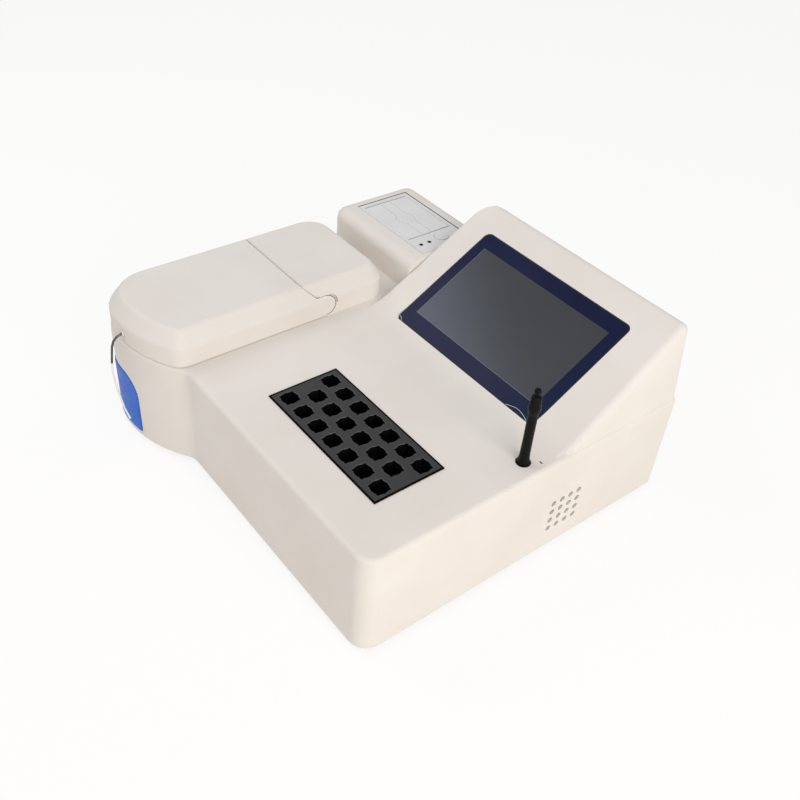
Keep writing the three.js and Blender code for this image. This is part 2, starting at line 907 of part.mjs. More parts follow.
function printerOutline(inset) {
  const corner = printerHousing.cornerRadius;
  const right = leftX + printerHousing.width;
  return outline([
    [leftX, printerFrontY, corner],
    [right, printerFrontY],
    [right, rearY],
    [leftX, rearY, corner],
  ], inset);
}

// The printer housing, kept out of the air above the screen's slope
function printerBlock() {
  const body = prism(printerOutline(0), ceilingZ, printerTopZ, roundEdge(printerHousing.edgeRadius));
  const hiddenY = wedgeFootY + printerHousing.height / Math.tan(wedge.slopeAngle) + wedge.edgeRadius;
  const aboveSlope = box(
    [wedgeLeftX, leftX + printerHousing.width + overrun],
    [printerFrontY - overrun, hiddenY],
    [ceilingZ - overrun, printerTopZ + overrun],
  );
  return body.subtract(aboveSlope);
}

function wedgeProfile(inset) {
  const tangent = wedge.footRadius * Math.tan(wedge.slopeAngle / 2);
  const startY = wedgeFootY - tangent - wedge.footLap;
  return outline([
    [startY, wedgeRootZ],
    [rearY, wedgeRootZ],
    [rearY, deckZ],
    [wedgeTopY, wedgeTopZ, wedge.topRadius],
    [wedgeFootY, deckZ, wedge.footRadius],
    [startY, deckZ],
  ], inset, cornerSteps + 2);
}

// Leans the right wall in as it rises
function drafted(geometry, x0, x1) {
  const position = geometry.attributes.position;
  for (let i = 0; i < position.count; i += 1) {
    const share = (position.getX(i) - x0) / (x1 - x0);
    position.setX(i, position.getX(i) - share * wedge.draft * (position.getZ(i) - deckZ));
  }
  return geometry;
}

function wedgePlan(inset) {
  return outline([
    [wedgeLeftX, wedgeFootY - bodyDepth],
    [rightX, wedgeFootY - bodyDepth],
    [rightX, rearY, deck.rearCornerRadius],
    [wedgeLeftX, rearY, wedge.rearLeftRadius],
  ], inset);
}

function wedgeBody(inset, rightEdge, leftEdge) {
  const left = wedgeLeftX + inset;
  const right = wedgeRightX - inset;
  const farLeft = left - 2 * wedge.edgeRadius;
  const farRight = right + 2 * wedge.edgeRadius;
  const leaning = drafted(alongX(wedgeProfile(inset), farLeft, right, rightEdge), farLeft, right);
  const leftForm = solidOf(alongX(wedgeProfile(inset), left, farRight, leftEdge));
  const plan = prism(wedgePlan(inset), wedgeRootZ, wedgeTopZ + overrun);
  return solidOf(leaning).intersect(leftForm).intersect(plan);
}

// The screen's place on the slope: its origin is the slope's top edge, with Y up the slope and Z out
const screenPlace = new THREE.Matrix4()
  .makeTranslation(glassX, wedgeTopY, wedgeTopZ)
  .multiply(new THREE.Matrix4().makeRotationX(wedge.slopeAngle));

function onSlope(width, height, z0, z1, radius = 0) {
  return prism(rectangle(about(0, width), about(glassMiddle, height), radius), z0, z1);
}

const glassBackZ = -glass.recess - glass.thickness;
const glassSeatZ = glassBackZ - fitGap;
const frameBackZ = glassSeatZ - wall - bracket.frame / 2;

function screenFrame() {
  const rim = 2 * bracket.frame;
  return placed(onSlope(glass.width + rim, glass.height + rim, frameBackZ, -glass.recess), screenPlace);
}

function screenCuts() {
  const gap = 2 * fitGap;
  const ledge = 2 * lcd.ledge;
  const windowSpan = [frameBackZ - overrun, glassSeatZ + leastEdge];
  const pocketSpan = [glassSeatZ, wedge.edgeRadius];
  const window = onSlope(glass.width - ledge, glass.height - ledge, ...windowSpan);
  const pocket = onSlope(glass.width + gap, glass.height + gap, ...pocketSpan, glass.cornerRadius);
  return [placed(pocket, screenPlace), placed(window, screenPlace)];
}

function deckCuts() {
  const through = [ceilingZ - overrun, deckZ + overrun];
  const wellGap = 2 * fitGap;
  const incubatorHole = prism(
    rectangle(about(incubatorX, incubator.width + wellGap), about(incubatorY, incubator.depth + wellGap)),
    ...through,
  );
  const trayHole = prism(
    rectangle(
      about(trayX, tray.width + wellGap),
      [trayFrontY - fitGap, trayRearY + fitGap],
      tray.cornerRadius + fitGap,
    ),
    ...through,
  );
  const slotX = rightX - micSlot.right;
  const slotY = frontY + micSlot.front;
  return [
    incubatorHole,
    trayHole,
    rod('z', [socketX, socketY], socket.sleeveRadius + fitGap, ...through, smallSteps),
    box(about(slotX, micSlot.length), about(slotY, micSlot.width), through),
  ];
}

function panelCuts() {
  const recess = box(
    [panelLeftX, panelRightX],
    [panelFrontY, panelRearY],
    [panelUnderZ, printerTopZ + overrun],
  );
  const opening = box(
    [panelLeftX + panel.ledge, panelRightX - panel.ledge],
    [panelFrontY + panel.ledge, panelRearY - panel.ledge],
    [printerTopZ - printerHousing.roof - overrun, panelUnderZ + overrun],
  );
  return [recess, opening];
}

function speakerCuts() {
  const offset = (speaker.pitch * (speaker.holes - 1)) / 2;
  const through = [rightX - wall - overrun, rightX + overrun];
  const cuts = [];
  for (let row = 0; row < speaker.holes; row += 1) {
    for (let column = 0; column < speaker.holes; column += 1) {
      const centre = [speakerY - offset + column * speaker.pitch, speakerZ - offset + row * speaker.pitch];
      cuts.push(rod('x', centre, speaker.holeRadius, ...through, smallSteps));
    }
  }
  return cuts;
}

// The key's outline from the front, grown by a gap
function keyOutline(gap) {
  const [left, right] = about(keyX, key.width + 2 * gap);
  const foot = key.footRadius + gap;
  const corner = key.cornerRadius + gap;
  const low = keyBottomZ - gap;
  const high = keyBottomZ + key.height + gap;
  return outline([[left, low, foot], [right, low, foot], [right, high, corner], [left, high, corner]]);
}

const rearWallSpan = [rearY - wall - overrun, rearY + overrun];

function portWindow(port, gap) {
  const outlineHere = rectangle(
    about(leftX + port.left, port.width + 2 * gap),
    about(portZ, port.height + 2 * gap),
  );
  return alongY(outlineHere, ...rearWallSpan);
}

function rearCuts() {
  const cuts = Object.values(ports).map((port) => portWindow(port, fitGap));
  const wasteHole = rod('y', [leftX + waste.left, portZ], waste.radius + fitGap, ...rearWallSpan);
  for (let i = 0; i < fan.slots; i += 1) {
    const x = fanX + (i - (fan.slots - 1) / 2) * fan.slotPitch;
    const slot = rectangle(about(x, fan.slotWidth), about(fanZ, fan.slotLength), fan.slotWidth / 2);
    cuts.push(alongY(slot, ...rearWallSpan));
  }
  return [...cuts, wasteHole];
}

const screwPlaces = [
  [leftX + screw.inset, rearY - screw.setback],
  [rightX - screw.inset, rearY - screw.setback],
  [rightX - screw.inset, frontY + screw.setback],
  [leftX + screw.inset, noseCentreY - screw.setback],
];

function screwBosses() {
  const bossTopZ = plateTopZ + screw.bossHeight;
  return screwPlaces.map((place) => rod('z', place, screw.boss, plateTopZ, bossTopZ, smallSteps));
}

function screwPilots() {
  const pilot = screw.radius + fitGap / 2;
  return screwPlaces.map((place) =>
    rod('z', place, pilot, plateTopZ - overrun, plateTopZ + screw.pilotDepth, smallSteps));
}

// Keeps the screen's slope whole where the printer's hollow reaches under it
function wedgeHood() {
  const hiddenY = wedgeFootY + printerHousing.height / Math.tan(wedge.slopeAngle) + wedge.edgeRadius;
  return box(
    [wedgeLeftX - wall, leftX + printerHousing.width + overrun],
    [printerFrontY - overrun, hiddenY + wall],
    [ceilingZ - 2 * overrun, printerTopZ],
  );
}

function makeHousing() {
  const outer = joinAll([
    prism(caseOutline(0), bottomZ, deckZ, roundEdge(deck.edgeRadius)),
    humpBlock(),
    printerBlock(),
    wedgeBody(0, roundEdge(wedge.edgeRadius), roundEdge(wedge.leftEdgeRadius, 2)),
  ]);
  const low = bottomZ - overrun;
  const printerRoofZ = printerTopZ - printerHousing.roof;
  const printerHollow = prism(printerOutline(wall), ceilingZ - overrun, printerRoofZ)
    .subtract(wedgeHood());
  const inner = joinAll([
    prism(caseOutline(wall), low, ceilingZ),
    humpBlockHollow(),
    printerHollow,
    wedgeBody(wall, noBevel, noBevel),
  ]);
  const shell = joinAll([outer.subtract(inner), screenFrame(), ...screwBosses()]);
  const keyHole = alongY(keyOutline(key.gap), apexY - overrun, apexY + nose.cornerRadius);
  return cutAll(shell, [
    ...humpCuts(),
    ...screenCuts(),
    ...deckCuts(),
    ...panelCuts(),
    ...speakerCuts(),
    ...rearCuts(),
    ...screwPilots(),
    keyHole,
  ]);
}

// Steel base plate, with two ears that hold the key's pin
function makeBasePlate() {
  const sheet = prism(caseOutline(wall + base.margin), plateBottomZ, plateTopZ);
  const earX = key.lugWidth / 2 + key.earGap;
  const ears = [-earX, earX].map((offset) => box(
    about(keyX + offset, base.thickness),
    about(keyPinY, key.earDepth),
    [plateBottomZ, keyPinZ + key.earDepth / 2],
  ));
  const holes = screwPlaces.map((place) =>
    rod('z', place, screw.radius + fitGap, plateBottomZ - overrun, plateTopZ + overrun, smallSteps));
  const pinHole = rod(
    'x',
    [keyPinY, keyPinZ],
    key.pinRadius + fitGap / 2,
    keyX - earX - overrun,
    keyX + earX + overrun,
    smallSteps,
  );
  return cutAll(joinAll([sheet, ...ears]), [...holes, pinHole]);
}

const footPlaces = [
  [leftX + foot.inset, rearY - foot.inset],
  [rightX - foot.inset, rearY - foot.inset],
  [rightX - foot.inset, frontY + foot.inset],
  [leftX + foot.inset, frontY + foot.inset],
];

function makeFoot() {
  return turned([
    [0, 0],
    [foot.radius, 0],
    [foot.radius + foot.flare, plateBottomZ],
    [0, plateBottomZ],
  ]);
}

// A pan-head screw, its head under the plate
function makeScrew() {
  return turned([
    [0, plateBottomZ - screw.headHeight],
    [screw.headRadius - screw.headHeight / 2, plateBottomZ - screw.headHeight],
    [screw.headRadius, plateBottomZ - screw.headHeight / 2],
    [screw.headRadius, plateBottomZ],
    [screw.radius, plateBottomZ],
    [screw.radius, plateTopZ + screw.length - screw.radius],
    [0, plateTopZ + screw.length],
  ], smallSteps);
}

// The key follows the nose's curve and carries a lug for its pin
function makeKey() {
  const outer = prism(caseOutline(-key.proud), bottomZ, deckZ);
  const front = outer.subtract(prism(caseOutline(key.thickness - key.proud), 0, deckZ + overrun));
  const paddle = front.intersect(alongY(keyOutline(0), apexY - overrun, apexY + nose.cornerRadius));
  const lugSpan = about(keyX, key.lugWidth);
  const hub = rod('x', [keyPinY, keyPinZ], key.lugRadius, ...lugSpan, smallSteps);
  const arm = box(lugSpan, [apexY + key.thickness, keyPinY], about(keyPinZ, key.lugRadius));
  const bore = key.pinRadius + fitGap;
  const ends = [lugSpan[0] - overrun, lugSpan[1] + overrun];
  return joinAll([paddle, hub, arm]).subtract(rod('x', [keyPinY, keyPinZ], bore, ...ends, smallSteps));
}

function makeKeyPin() {
  const reach = key.lugWidth / 2 + key.earGap + base.thickness;
  return rod('x', [keyPinY, keyPinZ], key.pinRadius, keyX - reach, keyX + reach, smallSteps);
}

// The key's switch on its post, its plunger clear of the key at full travel
function makeKeySwitch() {
  const topZ = keyBottomZ + key.height - keySwitch.drop;
  const swing = (topZ - keyPinZ) * Math.sin(key.travel);
  const tipY = apexY - key.proud + key.thickness + swing + fitGap;
  const bodyY = tipY + keySwitch.plunger;
  const middleZ = topZ - keySwitch.height / 2;
  const footSpan = [plateTopZ, plateTopZ + base.thickness];
  return joinAll([
    box(about(keyX, keySwitch.width), [bodyY, bodyY + keySwitch.depth], [topZ - keySwitch.height, topZ]),
    rod('y', [keyX, middleZ], keySwitch.plungerRadius, tipY, bodyY + overrun, smallSteps),
    box(
      about(keyX, keySwitch.post),
      [bodyY + keySwitch.depth - base.thickness * 2, bodyY + keySwitch.depth],
      [plateTopZ, topZ - keySwitch.height / 2],
    ),
    box(about(keyX, keySwitch.foot), [bodyY, bodyY + keySwitch.foot], footSpan),
  ]);
}

// The bent steel needle: level from the cell, round the bend, and down to its tip
function makeNeedle() {
  const startY = cellY - cell.capWidth / 2 - cell.nippleLength - fitGap;
  const bendZ = needleZ - needle.bendRadius;
  const bendCentre = [needleBendY, bendZ];
  const bend = arcPoints(bendCentre, needle.bendRadius, quarter, quarter + needleBend, cornerSteps);
  const [endY, endZ] = bend[bend.length - 1];
  const tip = [
    endY - needle.dropLength * Math.cos(needleBend),
    endZ - needle.dropLength * Math.sin(needleBend),
  ];
  const level = [[startY, needleZ], [(startY + needleBendY) / 2, needleZ]];
  const points = [...level, ...bend, tip].map(([y, z]) => [needleX, y, z]);
  return pipe(points, needle.radius, tube.sides, noseSteps);
}

function makeHolder() {
  const span = [holderY, holderY + holder.depth];
  const block = box(about(needleX, holder.width), span, [deckZ, needleZ + holder.cap]);
  const axis = [needleX, needleZ];
  const sleeve = rod('y', axis, holder.sleeveRadius, apexY + fitGap, holderY + overrun, smallSteps);
  const tongue = box(
    about(needleX, 2 * holder.sleeveRadius),
    [apexY + lid.wall, holderY + overrun],
    [deckZ, needleZ],
  );
  const boreRadius = needle.radius + holder.boreGap;
  const bore = rod('y', axis, boreRadius, apexY - overrun, span[1] + overrun, smallSteps);
  return joinAll([block, sleeve, tongue]).subtract(bore);
}

function makeTube() {
  return pipe(tubeRoute, tube.radius, tube.sides, tube.steps);
}

// Flow-cell tray: a tub hung by its flange on the deck
function makeTray() {
  const spanX = about(trayX, tray.width);
  const spanY = [trayFrontY, trayRearY];
  const grow = ([low, high], by) => [low - by, high + by];
  const inner = prism(
    rectangle(grow(spanX, -tray.wall), grow(spanY, -tray.wall), tray.cornerRadius - tray.wall),
    trayFloorZ,
    deckZ + 2 * tray.flange,
  );
  const rimRadius = tray.cornerRadius + tray.flange;
  const floorSpan = [trayBottomZ - overrun, trayFloorZ + overrun];
  const rim = rectangle(grow(spanX, tray.flange), grow(spanY, tray.flange), rimRadius);
  return cutAll(joinAll([
    prism(rectangle(spanX, spanY, tray.cornerRadius), trayBottomZ, deckZ + tray.flangeThickness / 2),
    prism(rim, deckZ, deckZ + tray.flangeThickness),
  ]), [
    inner,
    rod('y', [needleX, beamZ], tray.beamRadius, trayFrontY - overrun, trayRearY + overrun, smallSteps),
    rod('z', [pumpX, pumpY], pump.shaftRadius + seamGap, ...floorSpan, smallSteps),
  ]);
}

// Block that holds the flow cell in the light beam
function makeCellBlock() {
  const body = box(
    about(needleX, cell.blockWidth),
    [blockFrontY, blockFrontY + cell.blockDepth],
    [trayFloorZ, blockTopZ],
  );
  const seat = box(
    about(needleX, cell.width + 2 * fitGap),
    about(cellY, cell.width + 2 * fitGap),
    [trayFloorZ + cell.seat, blockTopZ + overrun],
  );
  const ends = [blockFrontY - overrun, blockFrontY + cell.blockDepth + overrun];
  const clamp = rod(
    'z',
    [needleX + (cell.blockWidth + cell.capWidth) / 4, cellY],
    cell.clampRadius,
    blockTopZ - overrun,
    blockTopZ + cell.clampHeight,
    smallSteps,
  );
  return cutAll(body, [seat, rod('y', [needleX, beamZ], cell.beamRadius, ...ends, smallSteps)]).add(clamp);
}

const cellOutletZ = cellTopZ - cell.outletDrop;
const cellRearY = cellY + cell.capWidth / 2;

// Flow cell: a square cell under a cap with a nipple for the needle and one for the tube
function makeFlowCell() {
  const capFrontY = cellY - cell.capWidth / 2;
  const spanX = about(needleX, cell.width);
  const frontSpan = [capFrontY - cell.nippleLength, capFrontY + overrun];
  const rearSpan = [cellRearY - overrun, cellRearY + cell.nippleLength];
  return joinAll([
    box(spanX, about(cellY, cell.width), [trayFloorZ + cell.seat, blockTopZ + overrun]),
    box(about(needleX, cell.capWidth), about(cellY, cell.capWidth), [blockTopZ, cellTopZ]),
    rod('y', [needleX, needleZ], cell.nippleRadius, ...frontSpan, smallSteps),
    rod('y', [needleX, cellOutletZ], cell.nippleRadius, ...rearSpan, smallSteps),
  ]);
}

// Roller pump: an open ring that the tube lies in, entered by a slot at the front and one at the left
function makePumpBody() {
  const topZ = trayFloorZ + pump.height;
  const ring = rod('z', [pumpX, pumpY], pump.radius, trayFloorZ, topZ);
  const slotHalf = pump.slotWidth / 2;
  return cutAll(ring, [
    rod('z', [pumpX, pumpY], pump.boreRadius, trayFloorZ + pump.baseThickness, topZ + overrun),
    rod('z', [pumpX, pumpY], pump.shaftRadius + seamGap, trayFloorZ - overrun, topZ, smallSteps),
    box(
      about(pumpX + pump.boreRadius - slotHalf, pump.slotWidth + overrun),
      [pumpY - pump.radius - overrun, pumpY],
      [pumpTubeZ - slotHalf, topZ + overrun],
    ),
    box(
      about(pumpX - pump.boreRadius + slotHalf, pump.slotWidth + overrun),
      [pumpY - pump.radius - overrun, pumpY],
      [pumpTubeZ - slotHalf, topZ + overrun],
    ),
  ]);
}

function makePumpRotor() {
  const low = trayFloorZ + pump.baseThickness + fitGap;
  const high = trayFloorZ + pump.height;
  const shoes = Array.from({ length: pump.shoeCount }, (_, i) => {
    const angle = quarter + (i * 2 * Math.PI) / pump.shoeCount;
    const reach = pump.rotorRadius - pump.shoeRadius / 2;
    const place = [reach * Math.cos(angle), reach * Math.sin(angle)];
    return rod('z', place, pump.shoeRadius, low, high, smallSteps);
  });
  return joinAll([rod('z', [0, 0], pump.rotorRadius - pump.shoeRadius, low, high + overrun), ...shoes])
    .subtract(rod('z', [0, 0], pump.shaftRadius + fitGap / 2, low - overrun, high, smallSteps));
}

function makePumpMotor() {
  const top = trayBottomZ;
  const shaftTopZ = trayFloorZ + pump.height - fitGap;
  return joinAll([
    rod('z', [pumpX, pumpY], pump.motorRadius, top - pump.motorLength, top),
    rod('z', [pumpX, pumpY], pump.shaftRadius, top - overrun, shaftTopZ, smallSteps),
  ]);
}

// The cell's outlet tube: back to the pump, down, round its ring and out at the front again
function makeCellTube() {
  const start = [needleX, cellRearY + cell.nippleLength + fitGap, cellOutletZ];
  const ringRadius = pump.boreRadius - cellTube.radius - fitGap;
  const round = arcPoints([pumpX, pumpY], ringRadius, 0, Math.PI, smallSteps / 2);
  const inX = pumpX + ringRadius;
  const outX = pumpX - ringRadius;
  const frontOfRing = pumpY - pump.radius;
  const points = [
    start,
    [start[0], start[1] + cellTube.exit, cellOutletZ],
    [inX, frontOfRing, pumpTubeZ + cellTube.lift],
    [inX, pumpY - pump.rotorRadius, pumpTubeZ],
    ...round.map(([x, y]) => [x, y, pumpTubeZ]),
    [outX, pumpY - pump.rotorRadius, pumpTubeZ],
    [outX, frontOfRing - cellTube.exit, pumpTubeZ],
    [outX, frontOfRing - 2 * cellTube.exit, trayFloorZ + fitGap + cellTube.radius],
  ];
  return pipe(points, cellTube.radius, cellTube.sides, cellTube.steps);
}

// Lamp house behind the tray, with cooling fins at its rear and the beam's window at its front
function makeLampHouse() {
  const rearFace = lampFrontY + lamp.depth;
  const topZ = plateTopZ + lamp.height;
  const spanX = about(needleX, lamp.width);
  const pitch = lamp.width / lamp.fins;
  const finSpan = [rearFace - overrun, rearFace + lamp.finDepth];
  const windowSpan = [lampFrontY - overrun, rearFace - lamp.finDepth];
  const fins = Array.from({ length: lamp.fins }, (_, i) => {
    const x = spanX[0] + (i + lamp.finShare) * pitch;
    return box(about(x, pitch * lamp.finShare), finSpan, [plateTopZ, topZ]);
  });
  const window = rod('y', [needleX, beamZ], tray.beamRadius, ...windowSpan, smallSteps);
  return joinAll([box(spanX, [lampFrontY, rearFace], [plateTopZ, topZ]), ...fins]).subtract(window);
}

// Filter wheel: turned about its own axis, which lies along Y, with one filter in the beam
const wheelX = needleX + filters.circleRadius;
const wheelFrontY = trayRearY + filters.gap;

function makeFilterWheel() {
  const disc = rod('y', [0, 0], filters.wheelRadius, 0, filters.thickness);
  const through = [-overrun, filters.thickness + overrun];
  const holes = Array.from({ length: filters.holes }, (_, i) => {
    const angle = (i * 2 * Math.PI) / filters.holes;
    const centre = [filters.circleRadius * Math.cos(angle), filters.circleRadius * Math.sin(angle)];
    return rod('y', centre, filters.holeRadius, ...through, smallSteps);
  });
  const bore = rod('y', [0, 0], filters.shaftRadius + fitGap / 2, ...through, smallSteps);
  return cutAll(disc, [...holes, bore]);
}

function makeFilterMotor() {
  const wheelBackY = wheelFrontY + filters.thickness + fitGap;
  const motorY = wheelBackY + filters.postThickness;
  const motorSpan = [motorY - filters.postThickness / 2, motorY + filters.motorLength];
  const post = box(
    about(wheelX, filters.postWidth),
    [wheelBackY, motorY],
    [plateTopZ, beamZ + filters.postWidth / 2],
  );
  return joinAll([
    post,
    rod('y', [wheelX, beamZ], filters.motorRadius, ...motorSpan),
    rod('y', [wheelX, beamZ], filters.shaftRadius, wheelFrontY, motorY, smallSteps),
  ]);
}

function makeDetector() {
  const body = box(
    about(needleX, detector.width),
    [trayFrontY - detector.depth, trayFrontY],
    about(beamZ, detector.height),
  );
  const boreSpan = [trayFrontY - detector.depth / 2, trayFrontY + overrun];
  return body.subtract(rod('y', [needleX, beamZ], tray.beamRadius, ...boreSpan, smallSteps));
}

// A well is a square with a round bore over it, as the incubator takes both square and round cuvettes
function wellCutter(x, y) {
  const low = incubatorTopZ - incubator.wellDepth;
  const high = incubatorTopZ + overrun;
  const sides = [about(x, incubator.wellSquare), about(y, incubator.wellSquare)];
  const square = prism(rectangle(...sides), low, high);
  return square.add(rod('z', [x, y], incubator.wellRadius, low, high, smallSteps));
}

function makeIncubatorBlock() {
  const body = prism(
    rectangle(about(incubatorX, incubator.width), about(incubatorY, incubator.depth), incubator.edgeRadius),
    incubatorBottomZ,
    incubatorTopZ,
    roundEdge(incubator.edgeRadius / 2, 1),
  );
  const wells = incubator.rowCounts.flatMap((count, row) => {
    const y = incubatorY + (row - (incubator.rowCounts.length - 1) / 2) * incubator.rowPitch;
    return Array.from({ length: count }, (_, i) =>
      wellCutter(incubatorX + (i - (count - 1) / 2) * incubator.pitch, y));
  });
  return cutAll(body, wells);
}

function makeHeater() {
  const low = incubatorBottomZ - incubator.heaterThickness;
  const spanZ = [low, incubatorBottomZ];
  return box(about(incubatorX, incubator.width), about(incubatorY, incubator.depth), spanZ);
}

// Insulated cradle under the deck, round the block and its heater
function makeCradle() {
  const floorZ = incubatorBottomZ - incubator.heaterThickness;
  const clear = 2 * fitGap;
  const rim = 2 * incubator.cradleWall;
  const outer = box(
    about(incubatorX, incubator.width + clear + rim),
    about(incubatorY, incubator.depth + clear + rim),
    [floorZ - incubator.cradleWall, ceilingZ],
  );
  return outer.subtract(box(
    about(incubatorX, incubator.width + clear),
    about(incubatorY, incubator.depth + clear),
    [floorZ, ceilingZ + overrun],
  ));
}

// Stylus standing in its socket; heights run from the socket's flange
function makeStylus() {
  const { height, ballRadius, shoulderHeight, neckLength, collarHeight, collarTaper, gripHeight } = stylus;
  const ballZ = height - ballRadius;
  const neckAngle = Math.asin(stylus.neckRadius / ballRadius);
  const ball = arcPoints([0, ballZ], ballRadius, neckAngle - quarter, quarter, smallSteps / 2);
  const neckZ = ballZ - ballRadius * Math.cos(neckAngle) - neckLength;
  const collarTopZ = neckZ - shoulderHeight;
  return turned([
    [0, -stylus.tangLength],
    [stylus.tipRadius, -stylus.tangLength],
    [stylus.tangRadius, stylus.tipLength - stylus.tangLength],
    [stylus.tangRadius, 0],
    [stylus.baseRadius, 0],
    [stylus.baseRadius, stylus.baseHeight],
    [(stylus.gripRadius + stylus.shoulderRadius) / 2, stylus.baseTaper],
    [stylus.gripRadius, gripHeight / 2],
    [stylus.gripRadius, gripHeight],
    [stylus.shoulderRadius, gripHeight],
    [stylus.collarRadius, gripHeight + collarTaper],
    [stylus.collarRadius, Math.min(gripHeight + collarTaper + collarHeight, collarTopZ)],
    [stylus.shoulderRadius, neckZ],
    [stylus.neckRadius, neckZ],
    ...ball.slice(0, -1),
    [0, height],
  ]);
}

function makeSocket() {
  const low = socketTopZ - socket.depth;
  return turned([
    [0, low],
    [socket.sleeveRadius, low],
    [socket.sleeveRadius, deckZ],
    [socket.flangeRadius, deckZ],
    [socket.flangeRadius, deckZ + socket.flangeThickness / 2],
    [socket.flangeRadius - socket.flangeThickness / 2, socketTopZ],
    [socket.boreRadius, socketTopZ],
    [socket.boreRadius, low + socket.floor],
    [0, low + socket.floor],
  ]);
}

// Screen pieces, drawn in the slope's own frame
function makeTouchPanel() {
  return onSlope(glass.width, glass.height, glassBackZ, -glass.recess, glass.cornerRadius);
}

const lcdFrontZ = glassBackZ - fitGap;

function makeLcd() {
  return onSlope(lcd.width, lcd.height, lcdFrontZ - lcd.thickness, lcdFrontZ);
}

function makeBracket() {
  const backZ = lcdFrontZ - lcd.thickness - fitGap;
  const frontZ = frameBackZ - fitGap;
  const width = glass.width + bracket.rim;
  const height = glass.height + bracket.rim;
  const rim = 2 * bracket.rim;
  const plate = onSlope(width, height, backZ - bracket.sheet, frontZ);
  return plate.subtract(onSlope(width - rim, height - rim, backZ, frontZ + overrun));
}

// Speaker against the right wall: rim, cone and magnet
function makeSpeaker() {
  const depth = speaker.rimThickness + speaker.coneDepth;
  const profile = [
    [0, -depth - speaker.magnetDepth],
    [speaker.magnetRadius, -depth - speaker.magnetDepth],
    [speaker.magnetRadius, -depth],
    [speaker.coneRadius, -speaker.rimThickness],
    [speaker.rimRadius, -speaker.rimThickness],
    [speaker.rimRadius, 0],
    [speaker.coneRadius, 0],
    [speaker.magnetRadius / 2, -speaker.coneDepth],
    [0, -speaker.coneDepth],
  ];
  return moved(turnedAbout(turned(profile), yAxis, quarter), rightX - wall, speakerY, speakerZ);
}

// Printer frame: the grey panel, the paper bay under the door and a shallow bay for the button and lamps
const stripX = panelRightX - printer.stripWidth;
const doorLeftX = panelLeftX + panel.ledge + printer.bayWall + printer.doorMargin;
const doorAxisZ = panelTopZ - printer.knuckleRadius;
const doorRightX = stripX - printer.doorMargin;
const doorSpanY = [
  panelFrontY + panel.ledge + printer.bayWall + 2 * fitGap,
  panelRearY - panel.ledge - printer.bayWall - 2 * fitGap,
];
const bayBottomZ = panelTopZ - printer.bayDepth;
const buttonX = leftX + button.left;
const buttonY = rearY - button.rear;
const buttonTopZ = panelTopZ + button.proud;
const buttonFlangeZ = panelUnderZ - button.flangeThickness;
const lampX = leftX + statusLamp.left;
const lampYs = [0, 1].map((i) => rearY - statusLamp.rear - i * statusLamp.pitch);

function makePrinterFrame() {
  const gap = fitGap;
  const plate = box(
    [panelLeftX + gap, panelRightX - gap],
    [panelFrontY + gap, panelRearY - gap],
    [panelUnderZ, panelTopZ],
  );
  const tubY = [panelFrontY + panel.ledge + gap, panelRearY - panel.ledge - gap];
  const inY = [tubY[0] + printer.bayWall, tubY[1] - printer.bayWall];
  const tubLeft = panelLeftX + panel.ledge + gap;
  const tubRight = panelRightX - panel.ledge - gap;
  const bayWall = printer.bayWall;
  const stripBottomZ = panelTopZ - printer.stripDepth;
  const bay = box([tubLeft, stripX], tubY, [bayBottomZ, panelUnderZ + bayWall / 2]);
  const strip = box([stripX - bayWall, tubRight], tubY, [stripBottomZ, panelUnderZ + bayWall / 2]);
  const openingSpan = [bayBottomZ + bayWall, panelTopZ + overrun];
  const doorOpening = box([tubLeft + bayWall, stripX - bayWall], inY, openingSpan);
  const stripHollow = box([stripX, tubRight - bayWall], inY, [stripBottomZ + bayWall, panelUnderZ]);
  const hinge = rod(
    'y',
    [doorLeftX, doorAxisZ],
    printer.stubRadius + gap,
    doorSpanY[0] - printer.stubLength - gap,
    doorSpanY[1] + printer.stubLength + gap,
    smallSteps,
  );
  const contactSpan = [stripBottomZ, buttonFlangeZ - button.travel - gap];
  const contact = rod('z', [buttonX, buttonY], button.radius / 2, ...contactSpan, smallSteps);
  const lampHoles = lampYs.map((y) =>
    rod('z', [lampX, y], statusLamp.radius + gap, panelUnderZ - overrun, panelTopZ + overrun, smallSteps));
  return cutAll(joinAll([plate, bay, strip]), [
    doorOpening,
    stripHollow,
    hinge,
    rod('z', [buttonX, buttonY], button.radius + gap, panelUnderZ - leastEdge, panelTopZ + overrun),
    ...lampHoles,
  ]).add(contact);
}

// Printer door, drawn from its hinge axis: a round edge with stubs, a lifting notch and two roller tabs
const doorLength = doorRightX - doorLeftX - printer.doorEdge;
const platenX = doorLength - printer.platenInset;

function makePrinterDoor() {
  const thick = panel.thickness;
  const top = printer.knuckleRadius;
  const [y0, y1] = doorSpanY;
  const plate = box([0, doorLength], doorSpanY, [top - thick, top]);
  const knuckle = rod('y', [0, 0], printer.knuckleRadius, y0, y1, smallSteps);
  const stubSpan = [y0 - printer.stubLength, y1 + printer.stubLength];
  const stubs = rod('y', [0, 0], printer.stubRadius, ...stubSpan, smallSteps);
  const tabInset = (y1 - y0 - printer.paperWidth) / 2 - printer.tabThickness;
  const tabs = [y0 + tabInset - fitGap, y1 - tabInset - printer.tabThickness + fitGap].map((y) => box(
    about(platenX, 2 * printer.platenRadius),
    [y, y + printer.tabThickness],
    [top - thick - printer.platenDrop - printer.platenRadius / 2, top - thick / 2],
  ));
  const pinHole = rod(
    'y',
    [platenX, top - thick - printer.platenDrop],
    printer.platenPin + fitGap,
    y0,
    y1,
    smallSteps,
  );
  return joinAll([plate, knuckle, stubs, ...tabs]).subtract(pinHole);
}

function makePlaten() {
  const length = printer.paperWidth - 2 * fitGap;
  const pins = length + 2 * printer.tabThickness;
  return rod('y', [0, 0], printer.platenRadius, ...about(0, length))
    .add(rod('y', [0, 0], printer.platenPin, ...about(0, pins), smallSteps));
}

